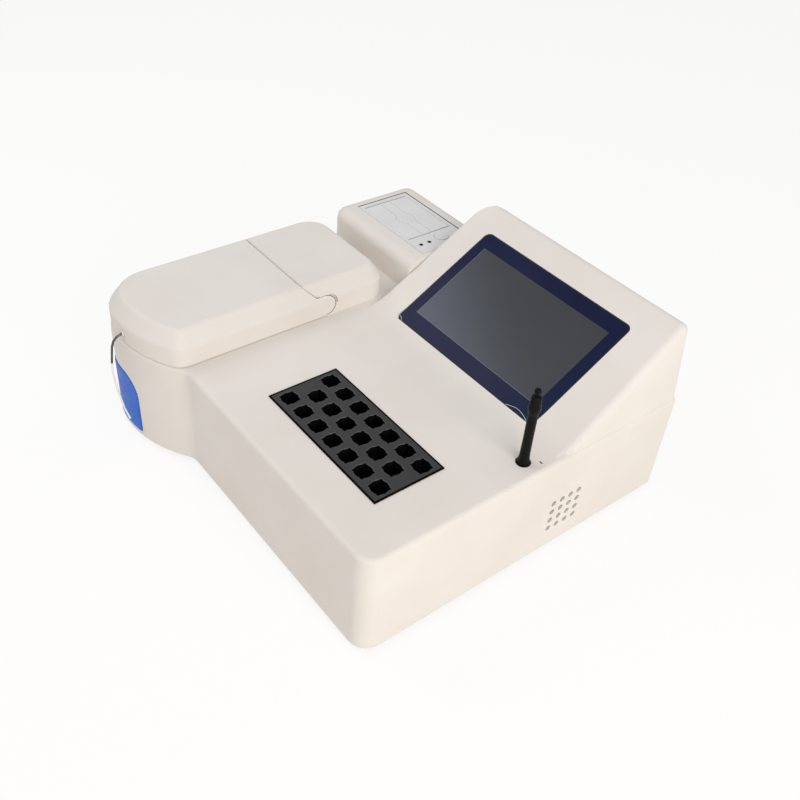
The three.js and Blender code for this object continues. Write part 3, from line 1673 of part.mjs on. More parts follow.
// Paper roll lying in the bay, drawn about its own axis
const paperX = (doorLeftX + platenX + doorLeftX) / 2 - printer.platenInset;
const paperZ = bayBottomZ + printer.bayWall + fitGap + printer.paperRadius;
const paperY = (doorSpanY[0] + doorSpanY[1]) / 2;

function makePaperRoll() {
  const half = printer.paperWidth / 2;
  return rod('y', [0, 0], printer.paperRadius, -half, half)
    .subtract(rod('y', [0, 0], printer.coreRadius, -half - overrun, half + overrun));
}

function makeButton() {
  return turned([
    [0, buttonFlangeZ],
    [button.radius + button.flange, buttonFlangeZ],
    [button.radius + button.flange, panelUnderZ],
    [button.radius, panelUnderZ],
    [button.radius, buttonTopZ - button.proud / 2],
    [button.radius - button.proud / 2, buttonTopZ],
    [0, buttonTopZ],
  ]);
}

function makeStatusLamp() {
  const { radius, proud, flange } = statusLamp;
  return turned([
    [0, panelUnderZ - flange],
    [radius + flange, panelUnderZ - flange],
    [radius + flange, panelUnderZ],
    [radius, panelUnderZ],
    [radius, panelTopZ],
    [radius / 2, panelTopZ + proud],
    [0, panelTopZ + proud],
  ], smallSteps);
}

// Main board on four standoffs, with its processor, sockets and a row of capacitors
function makeBoard() {
  const x0 = leftX + board.left;
  const y0 = rearY - board.rear;
  const sheetZ = plateTopZ + board.stand;
  const topZ = sheetZ + board.thickness;
  const corners = [
    [x0 + board.inset, y0 + board.inset],
    [x0 + board.width - board.inset, y0 + board.inset],
    [x0 + board.width - board.inset, y0 + board.depth - board.inset],
    [x0 + board.inset, y0 + board.depth - board.inset],
  ];
  const standSpan = [plateTopZ, sheetZ + leastEdge];
  const stands = corners.map((place) => rod('z', place, board.standRadius, ...standSpan, smallSteps));
  const partHeight = board.stand / 2;
  const parts = boardParts.map(([u, v, wide, deep]) => box(
    about(x0 + u * board.width, wide * board.width),
    about(y0 + v * board.depth, deep * board.depth),
    [topZ - leastEdge, topZ + partHeight],
  ));
  const capacitors = Array.from({ length: board.capacitors }, (_, i) => rod(
    'z',
    [x0 + board.width / 2 + (i + 1) * board.capacitorPitch, y0 + board.depth - 2 * board.inset],
    board.standRadius,
    topZ - leastEdge,
    topZ + board.stand,
    smallSteps,
  ));
  const sheet = box([x0, x0 + board.width], [y0, y0 + board.depth], [sheetZ, topZ]);
  return joinAll([sheet, ...stands, ...parts, ...capacitors]);
}

function makeSupply() {
  const spanX = [rightX - supply.right - supply.width, rightX - supply.right];
  const y1 = rearY - supply.rear;
  const topZ = plateTopZ + supply.height;
  const pitch = supply.width / supply.vents;
  const vents = Array.from({ length: supply.vents }, (_, i) => box(
    about(spanX[0] + (i + supply.ventShare) * pitch, pitch * supply.ventShare),
    about(y1 - supply.depth / 2, supply.depth / 2),
    [topZ - supply.ventDepth, topZ + overrun],
  ));
  return cutAll(box(spanX, [y1 - supply.depth, y1], [plateTopZ, topZ]), vents);
}

// Fan frame behind the rear vents: a square frame, its bore, and four struts to the hub's bearing
function makeFanFrame() {
  const span = [fanDepthY, rearY - wall];
  const frame = alongY(rectangle(about(fanX, fan.size), about(fanZ, fan.size), fan.hubRadius / 3), ...span);
  const bore = rod('y', [fanX, fanZ], fan.boreRadius, span[0] - overrun, span[1] + overrun);
  const strutY = [span[0], span[0] + fan.strutThickness];
  const reach = 2 * fan.boreRadius + overrun;
  return joinAll([
    frame.subtract(bore),
    box(about(fanX, reach), strutY, about(fanZ, fan.strutWidth)),
    box(about(fanX, fan.strutWidth), strutY, about(fanZ, reach)),
    rod('y', [fanX, fanZ], fan.hubRadius, ...strutY),
    rod('y', [fanX, fanZ], fan.shaftRadius, span[0], span[1] - fan.strutThickness, smallSteps),
  ]);
}

// Fan rotor, drawn about its own axis: a hub with twisted blades
function makeFanRotor() {
  const depth = fan.depth - fan.strutThickness - 2 * fitGap - overrun;
  const bladeSpan = fan.boreRadius - 2 * seamGap;
  const blades = Array.from({ length: fan.blades }, (_, i) => {
    const chord = depth / Math.sin(fan.bladeAngle);
    const blade = box([fan.hubRadius / 2, bladeSpan], about(0, chord), about(0, fan.bladeThickness));
    const pitched = turnedAbout(blade, xAxis, quarter - fan.bladeAngle);
    return turnedAbout(pitched, yAxis, (i * 2 * Math.PI) / fan.blades);
  });
  const keep = rod('y', [0, 0], bladeSpan, -depth / 2, depth / 2);
  const bore = rod('y', [0, 0], fan.shaftRadius + fitGap, -fan.depth, fan.depth, smallSteps);
  return joinAll([rod('y', [0, 0], fan.hubRadius, -depth / 2, depth / 2), ...blades])
    .intersect(keep)
    .subtract(bore);
}

// A rear socket: a flange outside the wall and a body that passes through it
function socketBody(port) {
  const x = leftX + port.left;
  const flange = rectangle(
    about(x, port.width + 2 * port.flange),
    about(portZ, port.height + 2 * port.flange),
    port.flange / 2,
  );
  const body = rectangle(about(x, port.width), about(portZ, port.height));
  return alongY(flange, rearY, rearY + port.thickness)
    .add(alongY(body, rearY - wall - port.depth, rearY + port.thickness / 2));
}

function makeInlet() {
  const port = ports.inlet;
  const x = leftX + port.left;
  const mouthSides = [about(x, port.width - port.mouth), about(portZ, port.height - port.mouth)];
  const mouth = rectangle(...mouthSides, port.mouth);
  const faceY = rearY + port.thickness;
  const pins = [[-1, 0], [0, 1], [1, 0]].map(([across, up]) => alongY(
    rectangle(
      about(x + (across * port.width) / 4, port.pin),
      about(portZ + (up * port.height) / 5, 2 * port.pin),
    ),
    faceY - port.mouthDepth - port.mouth / 2,
    faceY - port.thickness,
  ));
  const body = socketBody(port).subtract(alongY(mouth, faceY - port.mouthDepth, faceY + overrun));
  return joinAll([body, ...pins]);
}

function makeRockerFrame() {
  const port = ports.rocker;
  const x = leftX + port.left;
  const mouth = rectangle(about(x, port.width - 2 * port.wall), about(portZ, port.height - 2 * port.wall));
  const faceY = rearY + port.thickness;
  return socketBody(port).subtract(alongY(mouth, faceY - port.depth / 2, faceY + overrun));
}

// The rocker, drawn about its axis: two faces that meet at a shallow angle, tipped to one side
function makeRocker() {
  const port = ports.rocker;
  const half = (port.height - 2 * port.wall) / 2 - fitGap;
  const width = port.width - 2 * port.wall - 2 * fitGap;
  const rise = half * Math.tan(port.tilt);
  const side = shapeOf([
    [-port.wall, -half + rise],
    [port.wall, -half + rise],
    [port.wall + rise / 2, 0],
    [port.wall, half - rise],
    [-port.wall, half - rise],
  ]);
  return turnedAbout(solidOf(alongX(side, -width / 2, width / 2)), xAxis, -port.tilt);
}

function makeSerialPort() {
  const port = ports.serial;
  const x = leftX + port.left;
  const faceY = rearY + port.thickness;
  const ring = rectangle(about(x, port.width), about(portZ, port.height), port.wall);
  const inside = rectangle(about(x, port.width - 2 * port.wall), about(portZ, port.height - 2 * port.wall));
  const shell = alongY(ring, rearY, faceY + port.shell - port.thickness);
  return socketBody(port).add(shell).subtract(alongY(inside, rearY, faceY + port.shell + overrun));
}

function makeUsbPort() {
  const port = ports.usb;
  const x = leftX + port.left;
  const faceY = rearY + port.thickness;
  const inside = rectangle(about(x, port.width - 2 * port.wall), about(portZ, port.height - 2 * port.wall));
  const tongue = rectangle(about(x, port.width - 4 * port.wall), about(portZ, port.wall));
  return socketBody(port)
    .subtract(alongY(inside, faceY - port.depth, faceY + overrun))
    .add(alongY(tongue, faceY - port.depth - port.wall, faceY - port.wall));
}

// Waste outlet: a threaded tail, a nut flange and a barbed spout, drawn along Z and laid along Y
function makeWasteFitting() {
  const spout = turned([
    [0, -waste.length],
    [waste.radius, -waste.length],
    [waste.radius, 0],
    [waste.nutRadius, 0],
    [waste.nutRadius, waste.nutThickness],
    [waste.radius, waste.nutThickness],
    [waste.radius - waste.barb, waste.reach],
    [waste.boreRadius, waste.reach],
    [waste.boreRadius, -waste.length / 2],
    [0, -waste.length / 2],
  ]);
  return moved(turnedAbout(spout, xAxis, -quarter), leftX + waste.left, rearY, portZ);
}

// Assembly
const analyzer = new THREE.Group();

function addPiece(name, solid, material, parent = analyzer, position = [0, 0, 0]) {
  const mesh = new THREE.Mesh(geometryOf(solid), material);
  mesh.name = name;
  mesh.position.set(...position);
  parent.add(mesh);
  return mesh;
}

addPiece('housing', makeHousing(), creamPlastic);
addPiece('flow_cell_lid', makeLid(), creamPlastic);
addPiece('base_plate', makeBasePlate(), zincSheet);
footPlaces.forEach(([x, y], i) => addPiece(`foot_${i + 1}`, makeFoot(), rubberBlack, analyzer, [x, y, 0]));
screwPlaces.forEach(([x, y], i) => {
  addPiece(`base_screw_${i + 1}`, makeScrew(), steel, analyzer, [x, y, 0]);
});

addPiece('suction_key', makeKey(), keyBlue);
addPiece('key_pin', makeKeyPin(), steel);
addPiece('key_switch', makeKeySwitch(), blackPlastic);
addPiece('sample_needle', makeNeedle(), steel);
addPiece('needle_holder', makeHolder(), creamPlastic);
addPiece('suction_tube', makeTube(), whiteTube);

addPiece('cell_tray', makeTray(), blackPlastic);
addPiece('cell_block', makeCellBlock(), blackAluminium);
addPiece('flow_cell', makeFlowCell(), blackPlastic);
addPiece('cell_tube', makeCellTube(), clearTube);
addPiece('pump_body', makePumpBody(), panelGrey);
addPiece('pump_rotor', makePumpRotor(), whiteTube, analyzer, [pumpX, pumpY, 0]);
addPiece('pump_motor', makePumpMotor(), steel);
addPiece('lamp_house', makeLampHouse(), castAluminium);
addPiece('filter_wheel', makeFilterWheel(), filterGlass, analyzer, [wheelX, wheelFrontY, beamZ]);
addPiece('filter_motor', makeFilterMotor(), steel);
addPiece('detector', makeDetector(), blackAluminium);

addPiece('incubator_block', makeIncubatorBlock(), blackAluminium);
addPiece('incubator_heater', makeHeater(), amberFilm);
addPiece('incubator_cradle', makeCradle(), foamWhite);
addPiece('stylus_socket', makeSocket(), blackPlastic, analyzer, [socketX, socketY, 0]);
addPiece('stylus', makeStylus(), blackPlastic, analyzer, [socketX, socketY, socketTopZ]);

const slopeGroup = new THREE.Group();
slopeGroup.position.set(glassX, wedgeTopY, wedgeTopZ);
slopeGroup.rotation.x = wedge.slopeAngle;
analyzer.add(slopeGroup);
addPiece('touch_panel', makeTouchPanel(), darkGlass, slopeGroup);
addPiece('lcd_module', makeLcd(), lcdGrey, slopeGroup);
addPiece('screen_bracket', makeBracket(), zincSheet, slopeGroup);

addPiece('printer_frame', makePrinterFrame(), panelGrey);
const doorGroup = new THREE.Group();
doorGroup.position.set(doorLeftX, 0, doorAxisZ);
analyzer.add(doorGroup);
addPiece('printer_door', makePrinterDoor(), panelGrey, doorGroup);
const platenZ = printer.knuckleRadius - panel.thickness - printer.platenDrop;
addPiece('platen_roller', makePlaten(), rubberBlack, doorGroup, [platenX, paperY, platenZ]);
addPiece('paper_roll', makePaperRoll(), paperWhite, analyzer, [paperX, paperY, paperZ]);
addPiece('printer_button', makeButton(), panelGrey, analyzer, [buttonX, buttonY, 0]);
addPiece('status_lamp_1', makeStatusLamp(), blackPlastic, analyzer, [lampX, lampYs[0], 0]);
addPiece('status_lamp_2', makeStatusLamp(), blackPlastic, analyzer, [lampX, lampYs[1], 0]);

addPiece('speaker', makeSpeaker(), blackPlastic);
addPiece('main_board', makeBoard(), boardGreen);
addPiece('power_supply', makeSupply(), zincSheet);
addPiece('fan_frame', makeFanFrame(), blackPlastic);
addPiece('fan_rotor', makeFanRotor(), blackPlastic, analyzer, [fanX, fanMiddleY, fanZ]);
addPiece('inlet_socket', makeInlet(), blackPlastic);
addPiece('switch_frame', makeRockerFrame(), blackPlastic);
addPiece('power_rocker', makeRocker(), blackPlastic, analyzer, [leftX + ports.rocker.left, rearY, portZ]);
addPiece('serial_port', makeSerialPort(), steel);
addPiece('usb_port', makeUsbPort(), steel);
addPiece('waste_fitting', makeWasteFitting(), blackPlastic);

export default analyzer;
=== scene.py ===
import json
import math
from functools import partial

import bmesh
import bpy
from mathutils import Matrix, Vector
from mathutils.bvhtree import BVHTree


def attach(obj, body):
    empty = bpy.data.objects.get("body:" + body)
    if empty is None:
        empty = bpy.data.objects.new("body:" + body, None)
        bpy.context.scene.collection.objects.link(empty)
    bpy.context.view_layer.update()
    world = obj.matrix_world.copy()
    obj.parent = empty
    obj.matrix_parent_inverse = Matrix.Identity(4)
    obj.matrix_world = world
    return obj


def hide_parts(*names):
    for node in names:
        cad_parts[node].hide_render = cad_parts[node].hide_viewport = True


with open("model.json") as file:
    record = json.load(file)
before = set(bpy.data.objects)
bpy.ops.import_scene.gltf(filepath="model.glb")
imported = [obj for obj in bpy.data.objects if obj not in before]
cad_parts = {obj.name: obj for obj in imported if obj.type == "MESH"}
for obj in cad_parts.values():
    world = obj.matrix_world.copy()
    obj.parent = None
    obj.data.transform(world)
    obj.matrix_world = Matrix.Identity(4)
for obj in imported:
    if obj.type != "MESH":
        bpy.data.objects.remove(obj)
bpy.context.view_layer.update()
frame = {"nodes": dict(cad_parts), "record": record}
mm = 0.001
upright = Vector((0, 0, 1))


# sRGB hex to the linear colour that Blender's sockets want
def colour(hexText):
    parts = [int(hexText[i:i + 2], 16) / 255 for i in (0, 2, 4)]
    return tuple(c / 12.92 if c <= 0.04045 else ((c + 0.055) / 1.055) ** 2.4 for c in parts) + (1.0,)


# Adds a node, sets its properties, and sets or links its inputs. The inputs go by name or number, or in their
# order when they come as a tuple. A node stands for its first output, and each member of a list is linked.
def addNode(tree, kind, settings=None, inputs=None):
    node = tree.nodes.new(kind)
    for name, value in (settings or {}).items():
        setattr(node, name, value)
    for key, value in (enumerate(inputs) if isinstance(inputs, tuple) else (inputs or {}).items()):
        for item in value if isinstance(value, list) else [value]:
            source = item.outputs[0] if isinstance(item, bpy.types.Node) else item
            if isinstance(source, bpy.types.NodeSocket):
                tree.links.new(source, node.inputs[key])
            else:
                node.inputs[key].default_value = item
    return node


# short names for the nodes that are used most, and for their settings
maths, mapRange, joined = "ShaderNodeMath", "ShaderNodeMapRange", "ShaderNodeCombineXYZ"
times, plus, minus, over, largest, above, unsigned, sine, cosine = (
    {"operation": word} for word in ("MULTIPLY", "ADD", "SUBTRACT", "DIVIDE", "MAXIMUM", "GREATER_THAN",
                                     "ABSOLUTE", "SINE", "COSINE"))
held = {"clamp": True}


# turns on an owner's nodes, empties its tree, and gives the call that adds to it
def nodesOf(owner):
    owner.use_nodes = True
    owner.node_tree.nodes.clear()
    return partial(addNode, owner.node_tree)


# the camera stands where the photograph was taken
cameraView = {
    "place": (0.4981, -0.4006, 0.5911),
    "turn": (0.808389, 0.392209, 0.153802, 0.411126),  # w x y z
    "lens": 42.15,
    "sensor": 36,
    "shift": (-0.00975, 0.00238),
    "nearest": 0.01,
}


def makeCamera():
    data = bpy.data.cameras.new("camera")
    data.lens = cameraView["lens"]
    data.sensor_width = cameraView["sensor"]
    data.shift_x, data.shift_y = cameraView["shift"]
    data.clip_start = cameraView["nearest"]
    camera = bpy.data.objects.new("camera", data)
    camera.location = cameraView["place"]
    camera.rotation_mode = "QUATERNION"
    camera.rotation_quaternion = cameraView["turn"]
    bpy.context.collection.objects.link(camera)
    bpy.context.scene.camera = camera


makeCamera()


# the suction tube: PTFE, hanging free from the needle's bend, its points as the part's source has them
suctionTube = {
    "radius": 0.9,  # mm
    "quarterSteps": 5,
    "route": [
        (-127.7, -182.7, 84.9), (-127.8, -182.9, 80.7), (-127.8, -183, 76.5), (-128, -182.9, 72.3),
        (-128.2, -182.6, 68.1), (-128.3, -182.2, 63.9), (-128.5, -181.7, 59.7), (-128.7, -181.2, 55.5),
        (-128.9, -180.6, 51.4), (-128.8, -180, 47.2), (-128.3, -179.5, 43), (-127.6, -179.1, 38.9),
        (-126.7, -178.6, 34.8), (-125.7, -177.8, 30.8), (-124.4, -176.9, 26.9), (-123.1, -176, 23),
    ],
}


def makeSuctionTube():
    data = bpy.data.curves.new("suctionTube", "CURVE")
    data.dimensions = "3D"
    data.bevel_depth = suctionTube["radius"] * mm
    data.bevel_resolution = suctionTube["quarterSteps"]
    data.use_fill_caps = True
    points = [tuple(value * mm for value in point) for point in suctionTube["route"]]
    spline = data.splines.new("POLY")
    spline.points.add(len(points) - 1)
    for point, place in zip(spline.points, points):
        point.co = place + (1.0,)
    piece = bpy.data.objects.new("suctionTube", data)
    bpy.context.collection.objects.link(piece)
    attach(piece, "case")
    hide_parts("suction_tube")


makeSuctionTube()
print("camera and suction tube placed")


# soft studio: a window at the right, a ceiling panel and a white room, on a white table
lamps = {
    "windowRight": {"place": (1.7, -0.35, 1.0), "size": 1.3, "watts": 20.0, "tint": "FFFAF4"},
    "ceilingPanel": {"place": (-0.6, -0.35, 0.85), "size": 0.6, "watts": 2.1, "tint": "FBFCFF"},
}
lampAim = (0, 0, 0.08)
roomGlow = {"strength": 0.62, "tint": "FAFBFC"}
table = {"reach": 4.0, "tint": "F4F1EC", "whiteShare": 0.8, "whiteStrength": 1.02}


def makeLamps():
    for name, lamp in lamps.items():
        data = bpy.data.lights.new(name, "AREA")
        data.size = lamp["size"]
        data.energy = lamp["watts"]
        data.color = colour(lamp["tint"])[:3]
        light = bpy.data.objects.new(name, data)
        place = Vector(lamp["place"])
        light.location = place
        light.rotation_euler = (Vector(lampAim) - place).to_track_quat("-Z", "Y").to_euler()
        bpy.context.collection.objects.link(light)


# one where a ray comes straight from the camera, or through something clear
def seenDirectly(add):
    rays = add("ShaderNodeLightPath").outputs
    return add(maths, largest, (rays["Is Camera Ray"], rays["Is Transmission Ray"]))


# what is seen directly is plain white, and everything else gets the room's glow
def makeRoom():
    world = bpy.data.worlds.new("room")
    add = nodesOf(world)
    seen = seenDirectly(add)
    glow = add("ShaderNodeBackground", inputs=(colour(roomGlow["tint"]), roomGlow["strength"]))
    white = add("ShaderNodeBackground", inputs=(colour("FFFFFF"), 1.0))
    mix = add("ShaderNodeMixShader", inputs=(seen, glow, white))
    add("ShaderNodeOutputWorld", inputs={"Surface": mix})
    bpy.context.scene.world = world


# painted white table: the camera sees it almost plain, with a faint contact shadow
def makeFloor():
    mesh = bpy.data.meshes.new("floor")
    corners = [(x * table["reach"], y * table["reach"], 0) for x, y in ((-1, -1), (1, -1), (1, 1), (-1, 1))]
    mesh.from_pydata(corners, [], [(0, 1, 2, 3)])
    floor = bpy.data.objects.new("floor", mesh)
    bpy.context.collection.objects.link(floor)
    material = bpy.data.materials.new("whiteTablePaint")
    add = nodesOf(material)
    share = add(maths, times, (seenDirectly(add), table["whiteShare"]))
    paint = add("ShaderNodeBsdfDiffuse", inputs={"Color": colour(table["tint"])})
    white = add("ShaderNodeEmission", inputs=(colour("FFFFFF"), table["whiteStrength"]))
    mix = add("ShaderNodeMixShader", inputs=(share, paint, white))
    add("ShaderNodeOutputMaterial", inputs={"Surface": mix})
    mesh.materials.append(material)


makeLamps()
makeRoom()
makeFloor()
bpy.context.scene.view_settings.view_transform = "Standard"
print("studio ready")


# How each noise is drawn, and the part of its range that counts
surfaceNoise = {
    "patches": {"Detail": 3.0, "Roughness": 0.55},
    "grains": {"Detail": 2.0, "Roughness": 0.5},
    "handled": {"Detail": 5.0, "Roughness": 0.65},
    "toneRange": {"From Min": 0.32, "From Max": 0.68},
    "roughRange": {"From Min": 0.35, "From Max": 0.65},
    "dustRange": {"From Min": 0.55, "From Max": 0.8, "To Min": 0.0},
    "handledSize": 0.37,  # of the patches' size
    "handledShare": 0.6,  # of the roughness; the grain has the rest
    "dust": "8F8B85",
}


# One surface: two tones in soft patches, a roughness range, and a raised grain, all from real sizes in mm.
# shader holds the values that are the same all over, set on the shader's own sockets.
def makeSurface(name, tones, rough, patch, grain, lift, shader, smudge=0.0, sweep=None):
    n = surfaceNoise
    material = bpy.data.materials.new(name)
    add = nodesOf(material)
    where = add("ShaderNodeTexCoord").outputs["Object"]
    sizes = {"patches": patch, "grains": grain, "handled": patch * n["handledSize"]}
    patches, grains, handled = (
        add("ShaderNodeTexNoise", inputs={"Vector": where, "Scale": 1000 / size, **n[label]}).outputs["Fac"]
        for label, size in sizes.items())
    rest = add(maths, times, (grains, 1 - n["handledShare"]))
    mixed = add(maths, {"operation": "MULTIPLY_ADD"}, (handled, n["handledShare"], rest))
    roughness = add(mapRange, held,
                    {"Value": mixed, **n["roughRange"], "To Min": rough[0], "To Max": rough[1]})
    bump = add("ShaderNodeBump", inputs={"Height": grains, "Distance": lift * mm, "Strength": 1.0})
    layers = [(add(mapRange, held, {"Value": patches, **n["toneRange"]}), tones[1])]
    if smudge:
        dusty = add(mapRange, held, {"Value": handled, **n["dustRange"], "To Max": smudge})
        layers.append((dusty, n["dust"]))
    # painted sheen: the tone grows lighter along one direction, standing in for a reflection
    if sweep:  # a slow change of tone along one direction, from one place to another in mm
        along = add("ShaderNodeVectorMath", {"operation": "DOT_PRODUCT"}, (where, sweep["direction"]))
        reach = add(mapRange, {"clamp": True, "interpolation_type": "SMOOTHSTEP"},
                    (along.outputs["Value"], sweep["from"] * mm, sweep["to"] * mm))
        layers.append((reach, sweep["tone"]))
    base = colour(tones[0])
    for share, tone in layers:
        base = add("ShaderNodeMix", {"data_type": "RGBA"}, {0: share, 6: base, 7: colour(tone)}).outputs[2]
    skin = add("ShaderNodeBsdfPrincipled",
               inputs={"Base Color": base, "Roughness": roughness, "Normal": bump, **shader})
    add("ShaderNodeOutputMaterial", inputs={"Surface": skin})
    return material


# each finish by its material and how its surface was made, with its sizes in mm
finishes = {
    # ABS, injection moulded in a spark-textured tool: a matt skin with a fine pebble, drawn 1.6 mm wide to
    # show
    "mouldedAbsCream": dict(tones=("E7E1DB", "E1DAD3"), rough=(0.5, 0.62), patch=90, grain=1.6, lift=0.05,
                            shader={"IOR": 1.5, "Specular IOR Level": 0.4}),
    # ABS again, in the printer's cooler grey and a finer texture
    "mouldedAbsGrey": dict(tones=("E2E1E1", "DBDADA"), rough=(0.45, 0.58), patch=30, grain=1.0, lift=0.04,
                           shader={"IOR": 1.5, "Specular IOR Level": 0.4}),
    # glossy ABS, polished tool: an even colour with faint rub marks
    "mouldedAbsBlue": dict(tones=("3171D4", "2A67C8"), rough=(0.35, 0.5), patch=16, grain=0.9, lift=0.015,
                           shader={"IOR": 1.5, "Specular IOR Level": 0.2}),
    # aluminium, milled and black anodised: deep grey with a tight satin glint along its edges
    "anodisedAluminiumBlack": dict(tones=("1A1A1C", "131314"), rough=(0.42, 0.55), patch=12, grain=0.8,
                                   lift=0.02, shader={"IOR": 1.6, "Specular IOR Level": 0.6}),
    # painted shade: the same aluminium inside a deep bore, painted near black where no light comes back
    "paintedWellShadeBlack": dict(tones=("050505", "030303"), rough=(0.6, 0.75), patch=12, grain=0.8, lift=0.02,
                              shader={"IOR": 1.5, "Specular IOR Level": 0.15}),
    # painted highlight: a thin lighter grey line round each bore's rim
    "paintedRimHighlightGrey": dict(tones=("4A4B4E", "3F4043"), rough=(0.35, 0.45), patch=12, grain=0.8,
                                lift=0.01, shader={"IOR": 1.6}),
    # ABS moulded in black: satin, with slightly greyer rubbed places
    "mouldedAbsBlack": dict(tones=("0E0F0D", "090908"), rough=(0.36, 0.52), patch=14, grain=0.8, lift=0.02,
                            shader={"IOR": 1.5, "Specular IOR Level": 0.12}),
    # speaker cone, pressed from paper pulp: a dull dark brown
    "pressedPaperCone": dict(tones=("1C1611", "15110D"), rough=(0.8, 0.95), patch=8, grain=0.7, lift=0.05,
                             shader={"IOR": 1.5, "Specular IOR Level": 0.06}),
    # painted shade in the microphone's slot: black, deep and dull
    "paintedSlotShadeBlack": dict(tones=("060606", "040404"), rough=(0.9, 1.0), patch=6, grain=0.4, lift=0.05,
                      shader={"IOR": 1.4, "Specular IOR Level": 0.1}),
    # EPDM rubber, moulded: matt, with dust in its pores
    "mouldedRubberBlack": dict(tones=("232323", "1A1A1A"), rough=(0.7, 0.85), patch=10, grain=0.6, lift=0.05,
                               shader={"IOR": 1.5, "Specular IOR Level": 0.3}, smudge=0.15),
    # stainless steel, drawn and polished: bright with soft streaks
    "polishedStainless": dict(tones=("B9B8B6", "A5A4A2"), rough=(0.16, 0.3), patch=6, grain=0.5, lift=0.006,
                              shader={"Metallic": 1.0}),
    # stainless tube, bent: a darker copy of the polished steel, its colour lowered as painted shade, in soft
    # random patches
    "paintedShadeStainless": dict(tones=("77726A", "59554F"), rough=(0.2, 0.34), patch=6, grain=0.5, lift=0.006,
                            shader={"Metallic": 1.0}),
    # mild steel sheet, zinc plated: cool grey with cloudy spangles
    "zincPlatedSteel": dict(tones=("B5B8B8", "9EA2A3"), rough=(0.3, 0.48), patch=11, grain=2.2, lift=0.01,
                            shader={"Metallic": 1.0}),
    # aluminium, pressure die cast: pale, with a sandy skin
    "dieCastAluminium": dict(tones=("B4B5B6", "A2A4A5"), rough=(0.42, 0.58), patch=14, grain=0.8, lift=0.05,
                             shader={"Metallic": 1.0}),
    # PTFE, extruded: milky white with a waxy gloss
    "extrudedPtfe": dict(tones=("F3F3F0", "ECECE8"), rough=(0.25, 0.35), patch=9, grain=0.6, lift=0.01,
                         shader={"IOR": 1.38, "Subsurface Weight": 0.15,
                                 "Subsurface Radius": (0.001, 0.001, 0.001)}),
    # silicone rubber, extruded: cloudy and clear
    "extrudedSilicone": dict(tones=("DDE2DD", "CFD5D0"), rough=(0.3, 0.42), patch=9, grain=0.6, lift=0.01,
                             shader={"IOR": 1.41, "Transmission Weight": 0.45}),
    # thermal paper, wound: soft white with the faint grain of its fibres
    "thermalPaper": dict(tones=("F2F1EE", "EAE9E5"), rough=(0.6, 0.72), patch=8, grain=0.5, lift=0.02,
                         shader={"IOR": 1.5, "Specular IOR Level": 0.25}),
    # polyethylene foam, cut from board: white closed cells about 1 mm wide
    "cutPolyethyleneFoam": dict(tones=("EDEDEA", "DEDEDA"), rough=(0.75, 0.9), patch=5, grain=1.0, lift=0.25,
                                shader={"IOR": 1.45, "Specular IOR Level": 0.2}),
    # glass-epoxy laminate under green solder mask: glossy, with copper showing as paler green tracks
    "solderMaskGreen": dict(tones=("1F5C3C", "174A30"), rough=(0.2, 0.34), patch=3, grain=0.8, lift=0.02,
                            shader={"IOR": 1.55, "Coat Weight": 0.3}),
    # polyimide film over etched foil: amber and shiny
    "polyimideFilmAmber": dict(tones=("A8642A", "8C4E1C"), rough=(0.15, 0.28), patch=4, grain=1.2, lift=0.02,
                               shader={"IOR": 1.7, "Coat Weight": 0.4}),
    # optical glass with an interference coating: dark violet and mirror smooth
    "coatedFilterGlass": dict(tones=("4C4166", "37304E"), rough=(0.05, 0.1), patch=20, grain=3.0, lift=0.002,
                              shader={"IOR": 1.6, "Metallic": 0.35, "Coat Weight": 0.6,
                                      "Coat Roughness": 0.04}),
    # the screen's cover: soda-lime glass, its navy border printed behind, so it shines over a flat tone
    "printedGlassNavy": dict(tones=("171E40", "131938"), rough=(0.14, 0.22), patch=60, grain=8.0, lift=0.002,
                             shader={"IOR": 1.5, "Specular IOR Level": 0.12}),
    # the unlit liquid-crystal area behind the same glass: a grey film, with a milky sheen painted in as a
    # lighter tone towards one corner
    "unlitDisplayGrey": dict(tones=("3A3D42", "35383C"), rough=(0.36, 0.44), patch=120, grain=0.9, lift=0.004,
                             shader={"IOR": 1.5, "Specular IOR Level": 0.3},
                             sweep={"direction": (-0.45, -0.89, 0.0), "from": -125.0, "to": -35.0,
                                    "tone": "565D6B"}),
    # painted highlight: a dull light line for the display window's edge, on the sides that face the light
    "paintedWindowHighlightGrey": dict(tones=("787C86", "696D78"), rough=(0.4, 0.5), patch=20, grain=1.0, lift=0.004,
                           shader={"IOR": 1.52}),
    # polyester film, die cut: its edge is frosted white
    # painted highlight: a pale line where the film's cut edge catches the light
    "paintedFilmHighlight": dict(tones=("C9CBD6", "BDBFCC"), rough=(0.4, 0.5), patch=20, grain=1.0, lift=0.004,
                          shader={"IOR": 1.5}),
    # painted shade of a groove: the same grey ABS, darker
    "paintedGrooveShadeGrey": dict(tones=("B2B3B2", "A9AAA9"), rough=(0.6, 0.7), patch=20, grain=1.0, lift=0.004,
                            shader={"IOR": 1.5, "Specular IOR Level": 0.2}),
    # painted shade: EPDM rubber again, as a thin gasket, painted dead black
    "paintedShadeRubberBlack": dict(tones=("060606", "030303"), rough=(0.7, 0.85), patch=8, grain=0.8, lift=0.02,
                              shader={"IOR": 1.5, "Specular IOR Level": 0.06}),
    # painted shade, near black: the dark line round the glass and over its sides, the strip in the lid's
    # joint and the incubator's sides
    "paintedShadeBlack": dict(tones=("0C0C10", "08080B"), rough=(0.4, 0.5), patch=10, grain=1.0, lift=0.01,
                      shader={"IOR": 1.5}),
}
surface = {name: makeSurface(name, **values) for name, values in finishes.items()}
print(len(surface), "finishes made")

bodyOf = {node: body for body, nodes in frame["record"]["behaviour"]["bodies"].items() for node in nodes}


# a new piece that rides on the body of a node
def addPiece(name, mesh, node):
    piece = bpy.data.objects.new(name, mesh)
    bpy.context.collection.objects.link(piece)
    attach(piece, bodyOf[node])
    return piece


# the piece stands for a node, which is hidden
def standFor(piece, node):
    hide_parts(node)


